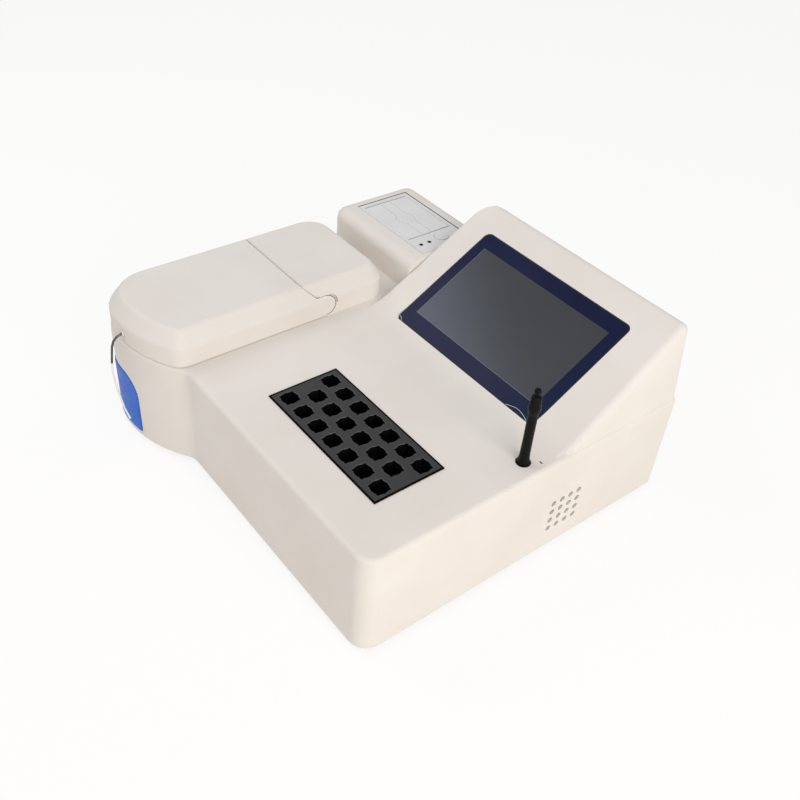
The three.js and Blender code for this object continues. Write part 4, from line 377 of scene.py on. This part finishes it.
# flat faces stay flat and round ones turn smooth; edges past the angle, in degrees, stay crisp
def smoothShade(piece, angle):
    piece.data.shade_smooth()
    form = bmesh.new()
    form.from_mesh(piece.data)
    for edge in form.edges:
        edge.smooth = edge.calc_face_angle(math.pi) < math.radians(angle)
    form.to_mesh(piece.data)
    form.free()
    weighted = piece.modifiers.new("evenFaces", "WEIGHTED_NORMAL")
    weighted.keep_sharp = True
    weighted.weight = 100


# how a node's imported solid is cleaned, in metres and degrees, and how its edges are broken
softening = {"joinWithin": 3e-6, "dropBelow": 4e-6, "flatWithin": 0.5, "steps": 2, "angle": 32}


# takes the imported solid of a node, joins its triangles, and breaks its edges by a small radius in mm
def softCopy(node, finish, edge):
    s = softening
    words = node.split("_")
    mesh = bpy.data.meshes.new(words[0] + "".join(word.capitalize() for word in words[1:]))
    form = bmesh.new()
    form.from_mesh(frame["nodes"][node].data)
    bmesh.ops.remove_doubles(form, verts=form.verts, dist=s["joinWithin"])
    bmesh.ops.dissolve_degenerate(form, dist=s["dropBelow"], edges=form.edges)
    flat = math.radians(s["flatWithin"])
    bmesh.ops.dissolve_limit(form, angle_limit=flat, verts=form.verts, edges=form.edges)
    form.to_mesh(mesh)
    form.free()
    mesh.materials.append(surface[finish])
    piece = addPiece(mesh.name, mesh, node)
    if edge:
        bevel = piece.modifiers.new("brokenEdges", "BEVEL")
        bevel.width = edge * mm
        bevel.segments = s["steps"]
        bevel.limit_method = "ANGLE"
        bevel.angle_limit = math.radians(s["angle"])
        bevel.use_clamp_overlap = True
        bevel.miter_outer = "MITER_ARC"
    smoothShade(piece, s["angle"])
    standFor(piece, node)


# fills the band between two closed rings that have the same number of points
def joinRings(form, one, two, slot=0):
    for i in range(len(one)):
        j = (i + 1) % len(one)
        form.faces.new((one[i], one[j], two[j], two[i])).material_index = slot


# closes a form's first and last ring
def capRings(form, first, last):
    form.faces.new(list(reversed(first)))
    form.faces.new(last)


# A closed strip along points in metres, with its width and height in mm. Its broad side looks the way that
# facing says, one direction for all its points or one for each.
def addStrip(form, points, width, height, facing):
    facings = facing if isinstance(facing, list) else [facing] * len(points)
    rings = []
    for i, point in enumerate(points):
        along = (points[min(i + 1, len(points) - 1)] - points[max(i - 1, 0)]).normalized()
        aside = along.cross(facings[i]).normalized() * (width * mm / 2)
        up = facings[i] * (height * mm / 2)
        rings.append([form.verts.new(point + side * aside + rise * up)
                      for side, rise in ((-1, -1), (1, -1), (1, 1), (-1, 1))])
    for one, two in zip(rings, rings[1:]):
        joinRings(form, one, two)
    capRings(form, rings[-1], rings[0])


# the finished form as a piece on the body of a node, with its finishes in the order of their face numbers
def addForm(form, name, finishNames, node):
    bmesh.ops.recalc_face_normals(form, faces=form.faces)
    mesh = bpy.data.meshes.new(name)
    form.to_mesh(mesh)
    form.free()
    for finish in finishNames:
        mesh.materials.append(surface[finish])
    return addPiece(name, mesh, node)


# node: finish and the radius of its broken edges in mm
dressedNodes = {
    "housing": ("mouldedAbsCream", 0),
    "flow_cell_lid": ("mouldedAbsCream", 0),
    "base_plate": ("zincPlatedSteel", 0),
    "suction_key": ("mouldedAbsBlue", 0.3),
    "key_pin": ("polishedStainless", 0),
    "key_switch": ("mouldedAbsBlack", 0.2),
    "sample_needle": ("paintedShadeStainless", 0),
    "needle_holder": ("mouldedAbsCream", 0.3),
    "cell_tray": ("mouldedAbsBlack", 0),
    "cell_block": ("anodisedAluminiumBlack", 0.4),
    "flow_cell": ("mouldedAbsBlack", 0.3),
    "cell_tube": ("extrudedSilicone", 0),
    "pump_body": ("mouldedAbsGrey", 0.3),
    "pump_rotor": ("extrudedPtfe", 0.2),
    "pump_motor": ("polishedStainless", 0.3),
    "lamp_house": ("dieCastAluminium", 0.4),
    "filter_wheel": ("coatedFilterGlass", 0.2),
    "filter_motor": ("polishedStainless", 0.3),
    "detector": ("anodisedAluminiumBlack", 0.4),
    "incubator_heater": ("polyimideFilmAmber", 0),
    "incubator_cradle": ("cutPolyethyleneFoam", 0.4),
    "stylus_socket": ("mouldedAbsBlack", 0.2),
    "lcd_module": ("unlitDisplayGrey", 0.2),
    "screen_bracket": ("zincPlatedSteel", 0.2),
    "printer_frame": ("mouldedAbsGrey", 0),
    "printer_door": ("mouldedAbsGrey", 0.2),
    "platen_roller": ("mouldedRubberBlack", 0),
    "paper_roll": ("thermalPaper", 0.1),
    "printer_button": ("mouldedAbsGrey", 0.25),
    "status_lamp_1": ("mouldedAbsBlack", 0.2),
    "status_lamp_2": ("mouldedAbsBlack", 0.2),
    "speaker": ("pressedPaperCone", 0.2),
    "main_board": ("solderMaskGreen", 0),
    "power_supply": ("zincPlatedSteel", 0.3),
    "fan_frame": ("mouldedAbsBlack", 0.3),
    "fan_rotor": ("mouldedAbsBlack", 0.2),
    "inlet_socket": ("mouldedAbsBlack", 0.3),
    "switch_frame": ("mouldedAbsBlack", 0.3),
    "power_rocker": ("mouldedAbsBlack", 0.3),
    "serial_port": ("polishedStainless", 0.2),
    "usb_port": ("polishedStainless", 0.1),
    "waste_fitting": ("mouldedAbsBlack", 0.2),
}
for number in (1, 2, 3, 4):
    dressedNodes[f"foot_{number}"] = ("mouldedRubberBlack", 0.4)
for node, (finish, edge) in dressedNodes.items():
    softCopy(node, finish, edge)
print(len(dressedNodes), "nodes dressed")


# a geometry tree on a bare mesh, turned into one plain mesh; sizes holds its inputs by name
def bakeTree(name, tree, sizes):
    carrier = bpy.data.objects.new(name + "Carrier", bpy.data.meshes.new(name + "Carrier"))
    bpy.context.collection.objects.link(carrier)
    maker = carrier.modifiers.new("maker", "NODES")
    maker.node_group = tree
    for item in tree.interface.items_tree:
        if item.in_out == "INPUT" and item.name in sizes:
            maker[item.identifier] = sizes[item.name]
    bpy.context.view_layer.update()
    ready = carrier.evaluated_get(bpy.context.evaluated_depsgraph_get())
    mesh = bpy.data.meshes.new_from_object(ready)
    mesh.name = name
    bpy.data.objects.remove(carrier)
    return mesh


# a new geometry tree with an input for each size, the call that adds to it, and its inputs' outlets
def startTree(name, sizes):
    tree = bpy.data.node_groups.new(name, "GeometryNodeTree")
    tree.interface.new_socket("Geometry", in_out="INPUT", socket_type="NodeSocketGeometry")
    for label, value in sizes.items():
        kind = "NodeSocketVector" if isinstance(value, tuple) else "NodeSocketFloat"
        tree.interface.new_socket(label, in_out="INPUT", socket_type=kind)
    tree.interface.new_socket("Geometry", in_out="OUTPUT", socket_type="NodeSocketGeometry")
    add = partial(addNode, tree)
    return tree, add, add("NodeGroupInput").outputs


# the tree's last steps: real copies, the finish (of the chosen faces, if any are chosen), and the mesh out
def endTree(add, geometry, finish, chosen=True):
    real = add("GeometryNodeRealizeInstances", inputs=(geometry,))
    done = add("GeometryNodeSetMaterial", inputs={0: real, "Selection": chosen, "Material": surface[finish]})
    add("NodeGroupOutput", inputs=(done,))


# Incubator block: a plate with rows of wells, each a square with a round bore over it.
incubatorBlock = {
    "sizes": {"width": 142.0, "depth": 65.0, "height": 41.0, "edge": 0.9, "corner": 1.0, "boreRadius": 7.3,
              "squareSide": 12.8, "wellDepth": 34.0, "rim": 0.45, "pitch": 20.0, "rowPitch": 19.8},
    "place": (69.8, -72.9, 102.8), "rows": (7, 6, 7), "pointsRound": 96,
    "wellRows": (4, 3, 2),  # the grid's rows over the rim, down the wall and across the floor
    "paintedShadeFromRow": 4.2,  # the row past which a well is dark
    "edgeSteps": 4, "cornerSteps": 6, "joinWithin": 0.01, "topWithin": 0.008, "shadeAngle": 40,
}


def incubatorTree():
    b = incubatorBlock
    sizes = {label: value * mm for label, value in b["sizes"].items()}
    sizes["place"] = tuple(value * mm for value in b["place"])
    tree, add, given = startTree("incubatorBlock", sizes)
    halfSide = add(maths, times, (given["squareSide"], 0.5))

    # how far the well's wall lies from its middle, at an angle: the bore, or the square where that is wider
    def reachAt(angle):
        ways = [add(maths, unsigned, (add(maths, way, (angle,)),)) for way in (cosine, sine)]
        square = add(maths, over, (halfSide, add(maths, largest, tuple(ways))))
        return add(maths, largest, (given["boreRadius"], square))

    def ringPlace(angle, reach, height):
        flat = [add(maths, times, (reach, add(maths, way, (angle,)))) for way in (cosine, sine)]
        return add(joined, inputs=(*flat, height))

    # a quarter round of a radius, gone through by a share: how far it has come out, and how far down
    def quarterRound(radius, share):
        bend = add(maths, times, (share, math.pi / 2))
        out = add(maths, times, (radius, add(maths, sine, (bend,))))
        return out, add(maths, times, (radius, add(maths, minus, (1.0, add(maths, cosine, (bend,))))))

    # a well: a grid rolled up, its rows running over the rim, down the wall and across the floor
    rowCount = sum(b["wellRows"])
    sheet = add("GeometryNodeMeshGrid", inputs=(1.0, 1.0, b["pointsRound"] + 1, rowCount + 1))
    split = add("ShaderNodeSeparateXYZ", inputs=(sheet.outputs["UV Map"],)).outputs
    angle = add(maths, times, (split[0], 2 * math.pi))
    row = add(maths, times, (split[1], rowCount))
    onRim, onWall, onFloor = (
        add(mapRange, held, (row, sum(b["wellRows"][:i]), sum(b["wellRows"][:i + 1])))
        for i in range(len(b["wellRows"])))
    rimOut, rimDrop = quarterRound(given["rim"], onRim)
    flare = add(maths, minus, (given["rim"], rimOut))
    wallDrop = add(maths, times, (add(maths, minus, (given["wellDepth"], given["rim"])), onWall))
    reach = add(maths, times, (add(maths, plus, (reachAt(angle), flare)), add(maths, minus, (1.0, onFloor))))
    drop = add(maths, times, (add(maths, plus, (rimDrop, wallDrop)), -1.0))
    rolled = add("GeometryNodeSetPosition", inputs={0: sheet, "Position": ringPlace(angle, reach, drop)})
    # each well gets a painted highlight on its rim, and painted shade, near black, down its wall and across
    # its floor
    rimHighlightPainted = add("GeometryNodeSetMaterial", inputs={0: rolled, "Material": surface["paintedRimHighlightGrey"]})
    inside = add(maths, above, (row, b["paintedShadeFromRow"]))
    wellShadePainted = add("GeometryNodeSetMaterial",
                inputs={0: rimHighlightPainted, "Selection": inside, "Material": surface["paintedWellShadeBlack"]})

    # the same outline as a curve, for the hole it leaves in the plate's face
    ring = add("GeometryNodeCurvePrimitiveCircle", {"mode": "RADIUS"},
               {"Resolution": b["pointsRound"], "Radius": 1.0})
    ringAngle = add(maths, times, (add("GeometryNodeInputIndex"), 2 * math.pi / b["pointsRound"]))
    ringReach = add(maths, plus, (reachAt(ringAngle), given["rim"]))
    holePlace = ringPlace(ringAngle, ringReach, 0.0)
    holeCurve = add("GeometryNodeSetPosition", inputs={0: ring, "Position": holePlace})

    # the wells' middles, row by row
    lines = []
    for index, count in enumerate(b["rows"]):
        startX = add(maths, times, (given["pitch"], -(count - 1) / 2))
        startY = add(maths, times, (given["rowPitch"], index - (len(b["rows"]) - 1) / 2))
        lines.append(add("GeometryNodeMeshLine", {"mode": "OFFSET"},
                         {"Count": count, "Start Location": add(joined, inputs=(startX, startY)),
                          "Offset": add(joined, inputs=(given["pitch"],))}))
    places = add("GeometryNodeJoinGeometry", inputs=(lines,))
    wells, holes = (add("GeometryNodeInstanceOnPoints", inputs={"Points": places, "Instance": copied})
                    for copied in (wellShadePainted, holeCurve))

    # the block's outline, drawn in by its broken edge
    twice = add(maths, times, (given["edge"], 2.0))
    width, depth = (add(maths, minus, (given[label], twice)) for label in ("width", "depth"))
    outline = add("GeometryNodeCurvePrimitiveQuadrilateral", {"mode": "RECTANGLE"},
                  {"Width": width, "Height": depth})
    rounded = add("GeometryNodeFilletCurve", {"mode": "POLY"},
                  {"Curve": outline, "Count": b["cornerSteps"], "Radius": given["corner"]})
    openCurves = add("GeometryNodeRealizeInstances", inputs=(holes,))
    faceCurves = add("GeometryNodeJoinGeometry", inputs=([rounded, openCurves],))
    face = add("GeometryNodeFillCurve", inputs=(faceCurves,))

    # the sides: a quarter round, then a straight wall, carried round the outline, in the near black of
    # painted shade
    side = add("GeometryNodeMeshLine", {"mode": "OFFSET"}, {"Count": b["edgeSteps"] + 2})
    step = add("GeometryNodeInputIndex")
    onEdge = add(mapRange, held, (step, 0.0, b["edgeSteps"]))
    sideOut, sideDown = quarterRound(given["edge"], onEdge)
    straight = add(maths, minus, (given["height"], given["edge"]))
    below = add(maths, times, (straight, add(maths, above, (step, b["edgeSteps"] + 0.5))))
    sidePlace = add(joined, inputs=(sideOut, add(maths, plus, (sideDown, below))))
    sideForm = add("GeometryNodeSetPosition", inputs={0: side, "Position": sidePlace})
    sideCurve = add("GeometryNodeMeshToCurve", inputs=(sideForm,))
    sides = add("GeometryNodeCurveToMesh", inputs=(rounded, sideCurve))
    paintedShadeSides = add("GeometryNodeSetMaterial", inputs={0: sides, "Material": surface["paintedShadeBlack"]})

    whole = add("GeometryNodeJoinGeometry", inputs=([face, paintedShadeSides, wells],))
    real = add("GeometryNodeRealizeInstances", inputs=(whole,))
    merged = add("GeometryNodeMergeByDistance", inputs={0: real, "Distance": b["joinWithin"] * mm})
    placed = add("GeometryNodeTransform", inputs={"Geometry": merged, "Translation": given["place"]})
    height = add("ShaderNodeSeparateXYZ", inputs=(add("GeometryNodeInputPosition"),)).outputs[2]
    onTop = add(maths, above, (height, (b["place"][2] - b["topWithin"]) * mm))
    endTree(add, placed, "anodisedAluminiumBlack", onTop)
    return tree, sizes


def makeIncubatorBlock():
    mesh = bakeTree("incubatorBlockBody", *incubatorTree())
    form = bmesh.new()
    form.from_mesh(mesh)
    bmesh.ops.holes_fill(form, edges=[edge for edge in form.edges if edge.is_boundary], sides=0)
    bmesh.ops.recalc_face_normals(form, faces=form.faces)
    form.to_mesh(mesh)
    form.free()
    piece = addPiece("incubatorBlockBody", mesh, "incubator_block")
    smoothShade(piece, incubatorBlock["shadeAngle"])
    standFor(piece, "incubator_block")


makeIncubatorBlock()
print("incubator made from its tree")


# where a place on the screen's slope lies: across, up the slope and out of it, all in mm
slope = {"middle": (54.6, 180.7, 175.95), "lean": 29.1}


def onSlope(across, up, out=0.0):
    lean = math.radians(slope["lean"])
    x, y, z = slope["middle"]
    rear = up * math.cos(lean) - out * math.sin(lean)
    rise = up * math.sin(lean) + out * math.cos(lean)
    return Vector((x + across, y + rear, z + rise)) * mm


# a Catmull-Rom curve through the given points, with steps between each two
def smoothLine(points, steps):
    line = []
    last = len(points) - 1
    for i in range(last):
        before, start, end, after = (Vector(points[min(max(i + k, 0), last)]) for k in (-1, 0, 1, 2))
        bend, twist = 2 * before - 5 * start + 4 * end - after, 3 * start - before - 3 * end + after
        for step in range(steps + (i == last - 1)):
            t = step / steps
            line.append(0.5 * ((2 * start) + (end - before) * t + bend * t ** 2 + twist * t ** 3))
    return line


# the points of a rectangle with round corners, as pairs about its middle, with steps to a corner
def roundedRing(width, height, radius, steps):
    ring = []
    for number, (sideX, sideY) in enumerate(((1, 1), (-1, 1), (-1, -1), (1, -1))):
        for step in range(steps + 1):
            turn = math.radians(90 * (number + step / steps))
            ring.append((sideX * (width / 2 - radius) + radius * math.cos(turn),
                         sideY * (height / 2 - radius) + radius * math.sin(turn)))
    return ring


# Touch panel: one pane, its printed border, display window and a rim line of painted shade set into its front
# face
touchPanel = {
    "width": 176.5, "height": 117.6, "thickness": 1.8, "sunk": 0.2, "middle": -92.85, "corner": 6.0,
    "rimLine": 0.55, "brokenEdge": 0.25, "cornerSteps": 8, "smallestCorner": 0.4,
    "window": (-77.2, -135.7, 76.4, -49.0), "windowLine": 0.35,
    "finishes": ("printedGlassNavy", "paintedShadeBlack", "paintedWindowHighlightGrey", "unlitDisplayGrey"),
}


def makeTouchPanel():
    p = touchPanel
    glass, seal, edge, display = range(len(p["finishes"]))
    form = bmesh.new()
    x0, y0, x1, y1 = p["window"]

    def ringOf(inset, depth):
        corner = max(p["corner"] - inset, p["smallestCorner"])
        points = roundedRing(p["width"] - 2 * inset, p["height"] - 2 * inset, corner, p["cornerSteps"])
        return [form.verts.new(onSlope(x, p["middle"] + y, -p["sunk"] - depth)) for x, y in points]

    # the pane's sides, broken edge and rim line take the slot of painted shade
    rings = [ringOf(0, p["thickness"]), ringOf(0, p["brokenEdge"])]
    for turn in (math.radians(45), math.radians(90)):
        rings.append(ringOf(p["brokenEdge"] * (1 - math.cos(turn)), p["brokenEdge"] * (1 - math.sin(turn))))
    rings.append(ringOf(p["brokenEdge"] + p["rimLine"], 0))
    for one, two in zip(rings, rings[1:]):
        joinRings(form, one, two, seal)
    form.faces.new(list(reversed(rings[0]))).material_index = glass

    # the border between the rounded ring and the window, a fan of faces from each corner
    def windowAt(inset):
        left, right, low, high = x0 + inset, x1 - inset, y0 + inset, y1 - inset
        corners = ((right, high), (left, high), (left, low), (right, low))
        return [form.verts.new(onSlope(x, y, -p["sunk"])) for x, y in corners]

    rim, outer, inner = rings[-1], windowAt(0), windowAt(p["windowLine"])
    perCorner = len(rim) // 4
    for corner in range(4):
        after = (corner + 1) % 4
        arc = rim[corner * perCorner:(corner + 1) * perCorner]
        for a, b in zip(arc, arc[1:]):
            form.faces.new((a, b, outer[corner])).material_index = glass
        form.faces.new((arc[-1], rim[after * perCorner], outer[after], outer[corner])).material_index = glass
        # the window's edge line: painted highlight on its left and bottom sides, painted shade on its top and
        # right
        border = form.faces.new((outer[corner], outer[after], inner[after], inner[corner]))
        border.material_index = edge if corner in (1, 2) else seal
    form.faces.new(inner).material_index = display
    standFor(addForm(form, "touchPanelGlass", p["finishes"], "touch_panel"), "touch_panel")


# protective film on the glass: a painted highlight, a thin pale arc near two of the corners where its cut
# edge catches the light
filmHighlightArcs = {
    "width": 0.4, "height": 0.06, "lift": 0.02, "steps": 6,
    "arcs": (((56.5, -150.6), (66.5, -147.4), (75.0, -148.2), (81.5, -150.4)),
             ((-87.3, -147.5), (-84.5, -148.6), (-81.5, -151.0))),
}


def makeFilmHighlightArcs():
    f = filmHighlightArcs
    form = bmesh.new()
    facing = (onSlope(0, 0, 1) - onSlope(0, 0, 0)).normalized()
    for arc in f["arcs"]:
        points = [onSlope(x, y, f["lift"] - touchPanel["sunk"]) for x, y in smoothLine(arc, f["steps"])]
        addStrip(form, points, f["width"], f["height"], facing)
    piece = addForm(form, "filmHighlightArcs", ("paintedFilmHighlight",), "touch_panel")


makeTouchPanel()
makeFilmHighlightArcs()
print("screen made")


# Printer door: two fine lines across it that open into a round finger catch, drawn as thin strips of painted
# shade on its skin
doorCatch = {
    "from": -163.2, "to": -96.6, "lines": (126.0, 137.0), "middle": (-129.6, 130.8), "radius": 9.3,
    "top": 132.9, "width": 0.35, "depth": 0.04, "step": 0.6, "easings": 2,
}


def makeDoorCatch():
    c = doorCatch
    form = bmesh.new()
    steps = round((c["to"] - c["from"]) / c["step"])
    for line, way in zip(c["lines"], (-1, 1)):
        points = []
        for i in range(steps + 1):
            x = c["from"] + (c["to"] - c["from"]) * i / steps
            swell = c["radius"] ** 2 - (x - c["middle"][0]) ** 2
            bulge = c["middle"][1] + way * math.sqrt(max(swell, 0.0))
            y = max(line, bulge) if way > 0 else min(line, bulge)
            points.append(Vector((x, y, c["top"])) * mm)
        for easing in range(c["easings"]):  # softens the corners where the catch meets the straight lines
            eased = [(a + 2 * b + d) / 4 for a, b, d in zip(points, points[1:], points[2:])]
            points = [points[0], *eased, points[-1]]
        addStrip(form, points, c["width"], c["depth"], upright)
    piece = addForm(form, "printerDoorCatchPaintedShade", ("paintedGrooveShadeGrey",), "printer_door")


makeDoorCatch()
print("printer door marked")


# Stylus: turned from one profile, as radius and height in mm above its socket
stylusForm = {
    "place": (169.1, 14.8, 102.8), "stepsRound": 64,
    "profile": (
        (0.0, -34.0), (0.8, -34.0), (3.1, -29.0), (3.1, 0.0), (5.1, 0.0), (5.1, 1.2), (4.8, 2.0), (4.25, 5.0),
        (4.0, 10.0), (3.85, 24.0), (3.85, 46.0), (3.9, 48.6), (4.15, 49.0), (4.55, 51.0), (4.95, 53.0),
        (4.95, 55.6), (4.8, 56.6), (4.5, 57.6), (4.15, 63.0), (3.75, 64.4), (2.9, 65.1), (2.0, 65.4),
        (2.0, 67.0),
    ),
    "ballRadius": 2.75, "height": 72.2, "ballSteps": 10, "pointBelow": 1e-6, "shadeAngle": 40,
}


def makeStylus():
    s = stylusForm
    profile = list(s["profile"])
    middle = s["height"] - s["ballRadius"]
    neck = math.asin(profile[-1][0] / s["ballRadius"]) - math.pi / 2
    for step in range(1, s["ballSteps"] + 1):
        turn = neck + (math.pi / 2 - neck) * step / s["ballSteps"]
        profile.append((s["ballRadius"] * math.cos(turn), middle + s["ballRadius"] * math.sin(turn)))
    form = bmesh.new()
    turns = [2 * math.pi * i / s["stepsRound"] for i in range(s["stepsRound"])]
    rings = []
    for radius, height in profile:
        places = [Vector((radius * math.cos(turn), radius * math.sin(turn), height)) for turn in turns]
        if radius < s["pointBelow"]:
            places = [Vector((0, 0, height))]
        rings.append([form.verts.new((Vector(s["place"]) + place) * mm) for place in places])
    for one, two in zip(rings, rings[1:]):
        for i in range(s["stepsRound"]):
            j = (i + 1) % s["stepsRound"]
            corners = [one[i % len(one)], one[j % len(one)], two[j % len(two)], two[i % len(two)]]
            form.faces.new(list(dict.fromkeys(corners)))
    piece = addForm(form, "stylusBody", ("mouldedAbsBlack",), "stylus")
    smoothShade(piece, s["shadeAngle"])
    standFor(piece, "stylus")


makeStylus()
print("stylus turned")


# Lid gap shade: a black strip of painted shade in the gap round the lid's rear edge and its ears, just under
# the skin
lidGapShade = {
    "hinge": (-3.4, 113.1), "earRadius": 9.3, "earRise": 9.5, "rearY": -24.0, "topZ": 133.5,
    "sectionY": -30.0, "ends": (-72.0, 90.0), "arcSteps": 30, "thickness": 0.5, "height": 0.8, "sunk": 0.25,
    "step": 1.0, "mitre": 0.41, "topDrop": 0.25, "turnIn": 0.6,
    "rays": ((0.0, -1.0), (-260.0, 1.0)),  # where each side's rays start in x, and the way they go
}


# evenly spaced points from one to another, the last left out
def spacedPoints(one, two, step):
    count = round(math.dist(one, two) / step)
    return [tuple(a + (b - a) * i / count for a, b in zip(one, two)) for i in range(count)]


# the painted shade strip's line on one side of the lid, as y and z: round the ear, along its shelf and up the
# slant
def gapShadeProfile():
    s = lidGapShade
    (hingeY, hingeZ), out = s["hinge"], s["thickness"] / 2
    low, high = (math.radians(angle) for angle in s["ends"])
    radius = s["earRadius"] + out
    arc = [low + (high - low) * i / s["arcSteps"] for i in range(s["arcSteps"])]
    profile = [(hingeY + radius * math.cos(angle), hingeZ + radius * math.sin(angle)) for angle in arc]
    shelf = (hingeY, hingeZ + s["earRise"] + out)
    corner = (hingeY - s["earRise"] + out * s["mitre"], shelf[1])
    top = (s["rearY"] + out * math.sqrt(0.5), s["topZ"] - s["topDrop"])
    return [*profile, *spacedPoints(shelf, corner, s["step"]), *spacedPoints(corner, top, s["step"]), top]


def makeLidGapShade():
    s = lidGapShade
    solid = frame["nodes"]["flow_cell_lid"]
    skin = BVHTree.FromPolygons([solid.matrix_world @ v.co for v in solid.data.vertices],
                                [tuple(p.vertices) for p in solid.data.polygons])
    depth = (s["sunk"] + s["height"] / 2) * mm
    sides = []
    for startX, way in s["rays"]:
        side = []
        for y, z in gapShadeProfile():
            place, normal = skin.ray_cast(Vector((startX, s["sectionY"], z)) * mm, Vector((way, 0, 0)))[:2]
            facing = Vector((normal.x, 0, normal.z)).normalized()
            side.append((Vector((place.x, y * mm, z * mm)) - facing * depth, facing))
        sides.append(side)
    right, left = sides
    rear = s["rearY"] + s["thickness"] / 2
    start = (right[-1][0].x / mm - s["turnIn"], rear, s["topZ"])
    end = (left[-1][0].x / mm + s["turnIn"], rear, s["topZ"])
    across = [*spacedPoints(start, end, s["step"]), end]
    path = right + [(Vector(point) * mm - upright * depth, upright) for point in across] + left[::-1]
    form = bmesh.new()
    points, facings = (list(column) for column in zip(*path))
    addStrip(form, points, s["thickness"], s["height"], facings)
    addForm(form, "lidGapPaintedShade", ("paintedShadeBlack",), "flow_cell_lid")


# Gaskets in painted shade: a rubber frame round the incubator's top edge, painted dead black, and a thin
# black strip of painted shade sunk in the printer panel's recess
paintedShadeGaskets = {
    "incubatorGasket": {
        "node": "incubator_block",
        "x": (-1.5, 141.1), "y": (-105.7, -40.1), "top": 102.84, "width": 1.5, "height": 1.1,
    },
    "printerPanelGapShade": {
        "node": "printer_frame",
        "x": (-172.0, -67.3), "y": (103.1, 163.5), "top": 133.12, "width": 0.6, "height": 0.6,
    },
}


def makePaintedShadeGasket(name, gasket):
    (left, right), (front, rear) = gasket["x"], gasket["y"]
    width, half = gasket["width"], gasket["width"] / 2
    middle = gasket["top"] - gasket["height"] / 2
    form = bmesh.new()
    for ends in (((left, front + half), (right, front + half)), ((left, rear - half), (right, rear - half)),
                 ((left + half, front + width), (left + half, rear - width)),
                 ((right - half, front + width), (right - half, rear - width))):
        addStrip(form, [Vector((x, y, middle)) * mm for x, y in ends], width, gasket["height"], upright)
    addForm(form, name, ("paintedShadeRubberBlack",), gasket["node"])


# Microphone slot: a black piece just under its slot in the deck, painted shade for the slot's dark inside
microphone = {"place": (177.3, 26.0, 100.85), "size": (2.96, 1.16, 2.2), "corner": 0.3, "cornerSteps": 4}


def makeMicrophone():
    m = microphone
    form = bmesh.new()
    x, y, z = m["place"]
    width, depth, height = m["size"]
    low, high = ([form.verts.new(Vector((x + a, y + b, z + side * height / 2)) * mm)
                  for a, b in roundedRing(width, depth, m["corner"], m["cornerSteps"])] for side in (-1, 1))
    joinRings(form, low, high)
    capRings(form, low, high)
    addForm(form, "microphoneSlotShade", ("paintedSlotShadeBlack",), "housing")


# Base screws: pan heads with a cross recess, all four from one tree
baseScrews = {
    "sizes": {"headTop": 4.6, "headRadius": 3.0, "headHeight": 1.8, "shankRadius": 1.25, "shankLength": 11.4,
              "recessWidth": 0.75, "recessLength": 3.2, "recessDepth": 1.0},
    "places": ((-178.5, 154.0), (178.5, 154.0), (178.5, -119.0), (-178.5, -82.0)), "turns": (20, 65, 5, 80),
    "headSides": 40, "shankSides": 20, "shadeAngle": 30,
    "crownShare": 0.7,  # the head's flat underside, of its radius
    "crownDrop": 1.999,  # in half heads, a hair less than 2 so that the crown and the rim overlap
}


def baseScrewTree():
    s = baseScrews
    sizes = {label: value * mm for label, value in s["sizes"].items()}
    tree, add, given = startTree("baseScrews", sizes)

    def shifted(geometry, height, turn=0.0):
        return add("GeometryNodeTransform", inputs={"Geometry": geometry, "Rotation": (0.0, 0.0, turn),
                                                    "Translation": add(joined, inputs={2: height})})

    half = add(maths, times, (given["headHeight"], 0.5))
    rim = add("GeometryNodeMeshCylinder",
              inputs={"Vertices": s["headSides"], "Radius": given["headRadius"], "Depth": half})
    crownRadius = add(maths, times, (given["headRadius"], s["crownShare"]))
    crown = add("GeometryNodeMeshCone", inputs={"Vertices": s["headSides"], "Radius Bottom": crownRadius,
                                                "Radius Top": given["headRadius"], "Depth": half})
    shank = add("GeometryNodeMeshCylinder",
                inputs={"Vertices": s["shankSides"], "Radius": given["shankRadius"],
                        "Depth": given["shankLength"]})
    shankUp = add(maths, minus, (add(maths, times, (given["shankLength"], 0.5)), half))
    solids = [shifted(rim, add(maths, times, (half, -0.5))),
              shifted(crown, add(maths, times, (half, -s["crownDrop"]))), shifted(shank, shankUp)]
    union = add("GeometryNodeMeshBoolean", {"operation": "UNION", "solver": "EXACT"}, {1: solids})
    twiceDeep = add(maths, times, (given["recessDepth"], 2.0))
    armSize = add(joined, inputs=(given["recessLength"], given["recessWidth"], twiceDeep))
    arm = add("GeometryNodeMeshCube", inputs=(armSize,))
    headLow = add(maths, times, (given["headHeight"], -1.0))
    arms = [shifted(arm, headLow, turn) for turn in (0.0, math.pi / 2)]
    cut = add("GeometryNodeMeshBoolean", {"operation": "DIFFERENCE", "solver": "EXACT"}, (union, arms))
    screws = []
    for (x, y), turn in zip(s["places"], s["turns"]):
        place = add(joined, inputs=(x * mm, y * mm, given["headTop"]))
        screws.append(add("GeometryNodeTransform", inputs={"Geometry": cut, "Translation": place,
                                                           "Rotation": (0.0, 0.0, math.radians(turn))}))
    endTree(add, add("GeometryNodeJoinGeometry", inputs=(screws,)), "zincPlatedSteel")
    return tree, sizes


def makeBaseScrews():
    piece = addPiece("baseScrews", bakeTree("baseScrews", *baseScrewTree()), "base_screw_1")
    smoothShade(piece, baseScrews["shadeAngle"])
    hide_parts(*[f"base_screw_{number}" for number in (1, 2, 3, 4)])


makeLidGapShade()
for name, gasket in paintedShadeGaskets.items():
    makePaintedShadeGasket(name, gasket)
makeMicrophone()
makeBaseScrews()
print("seals, microphone and base screws made")
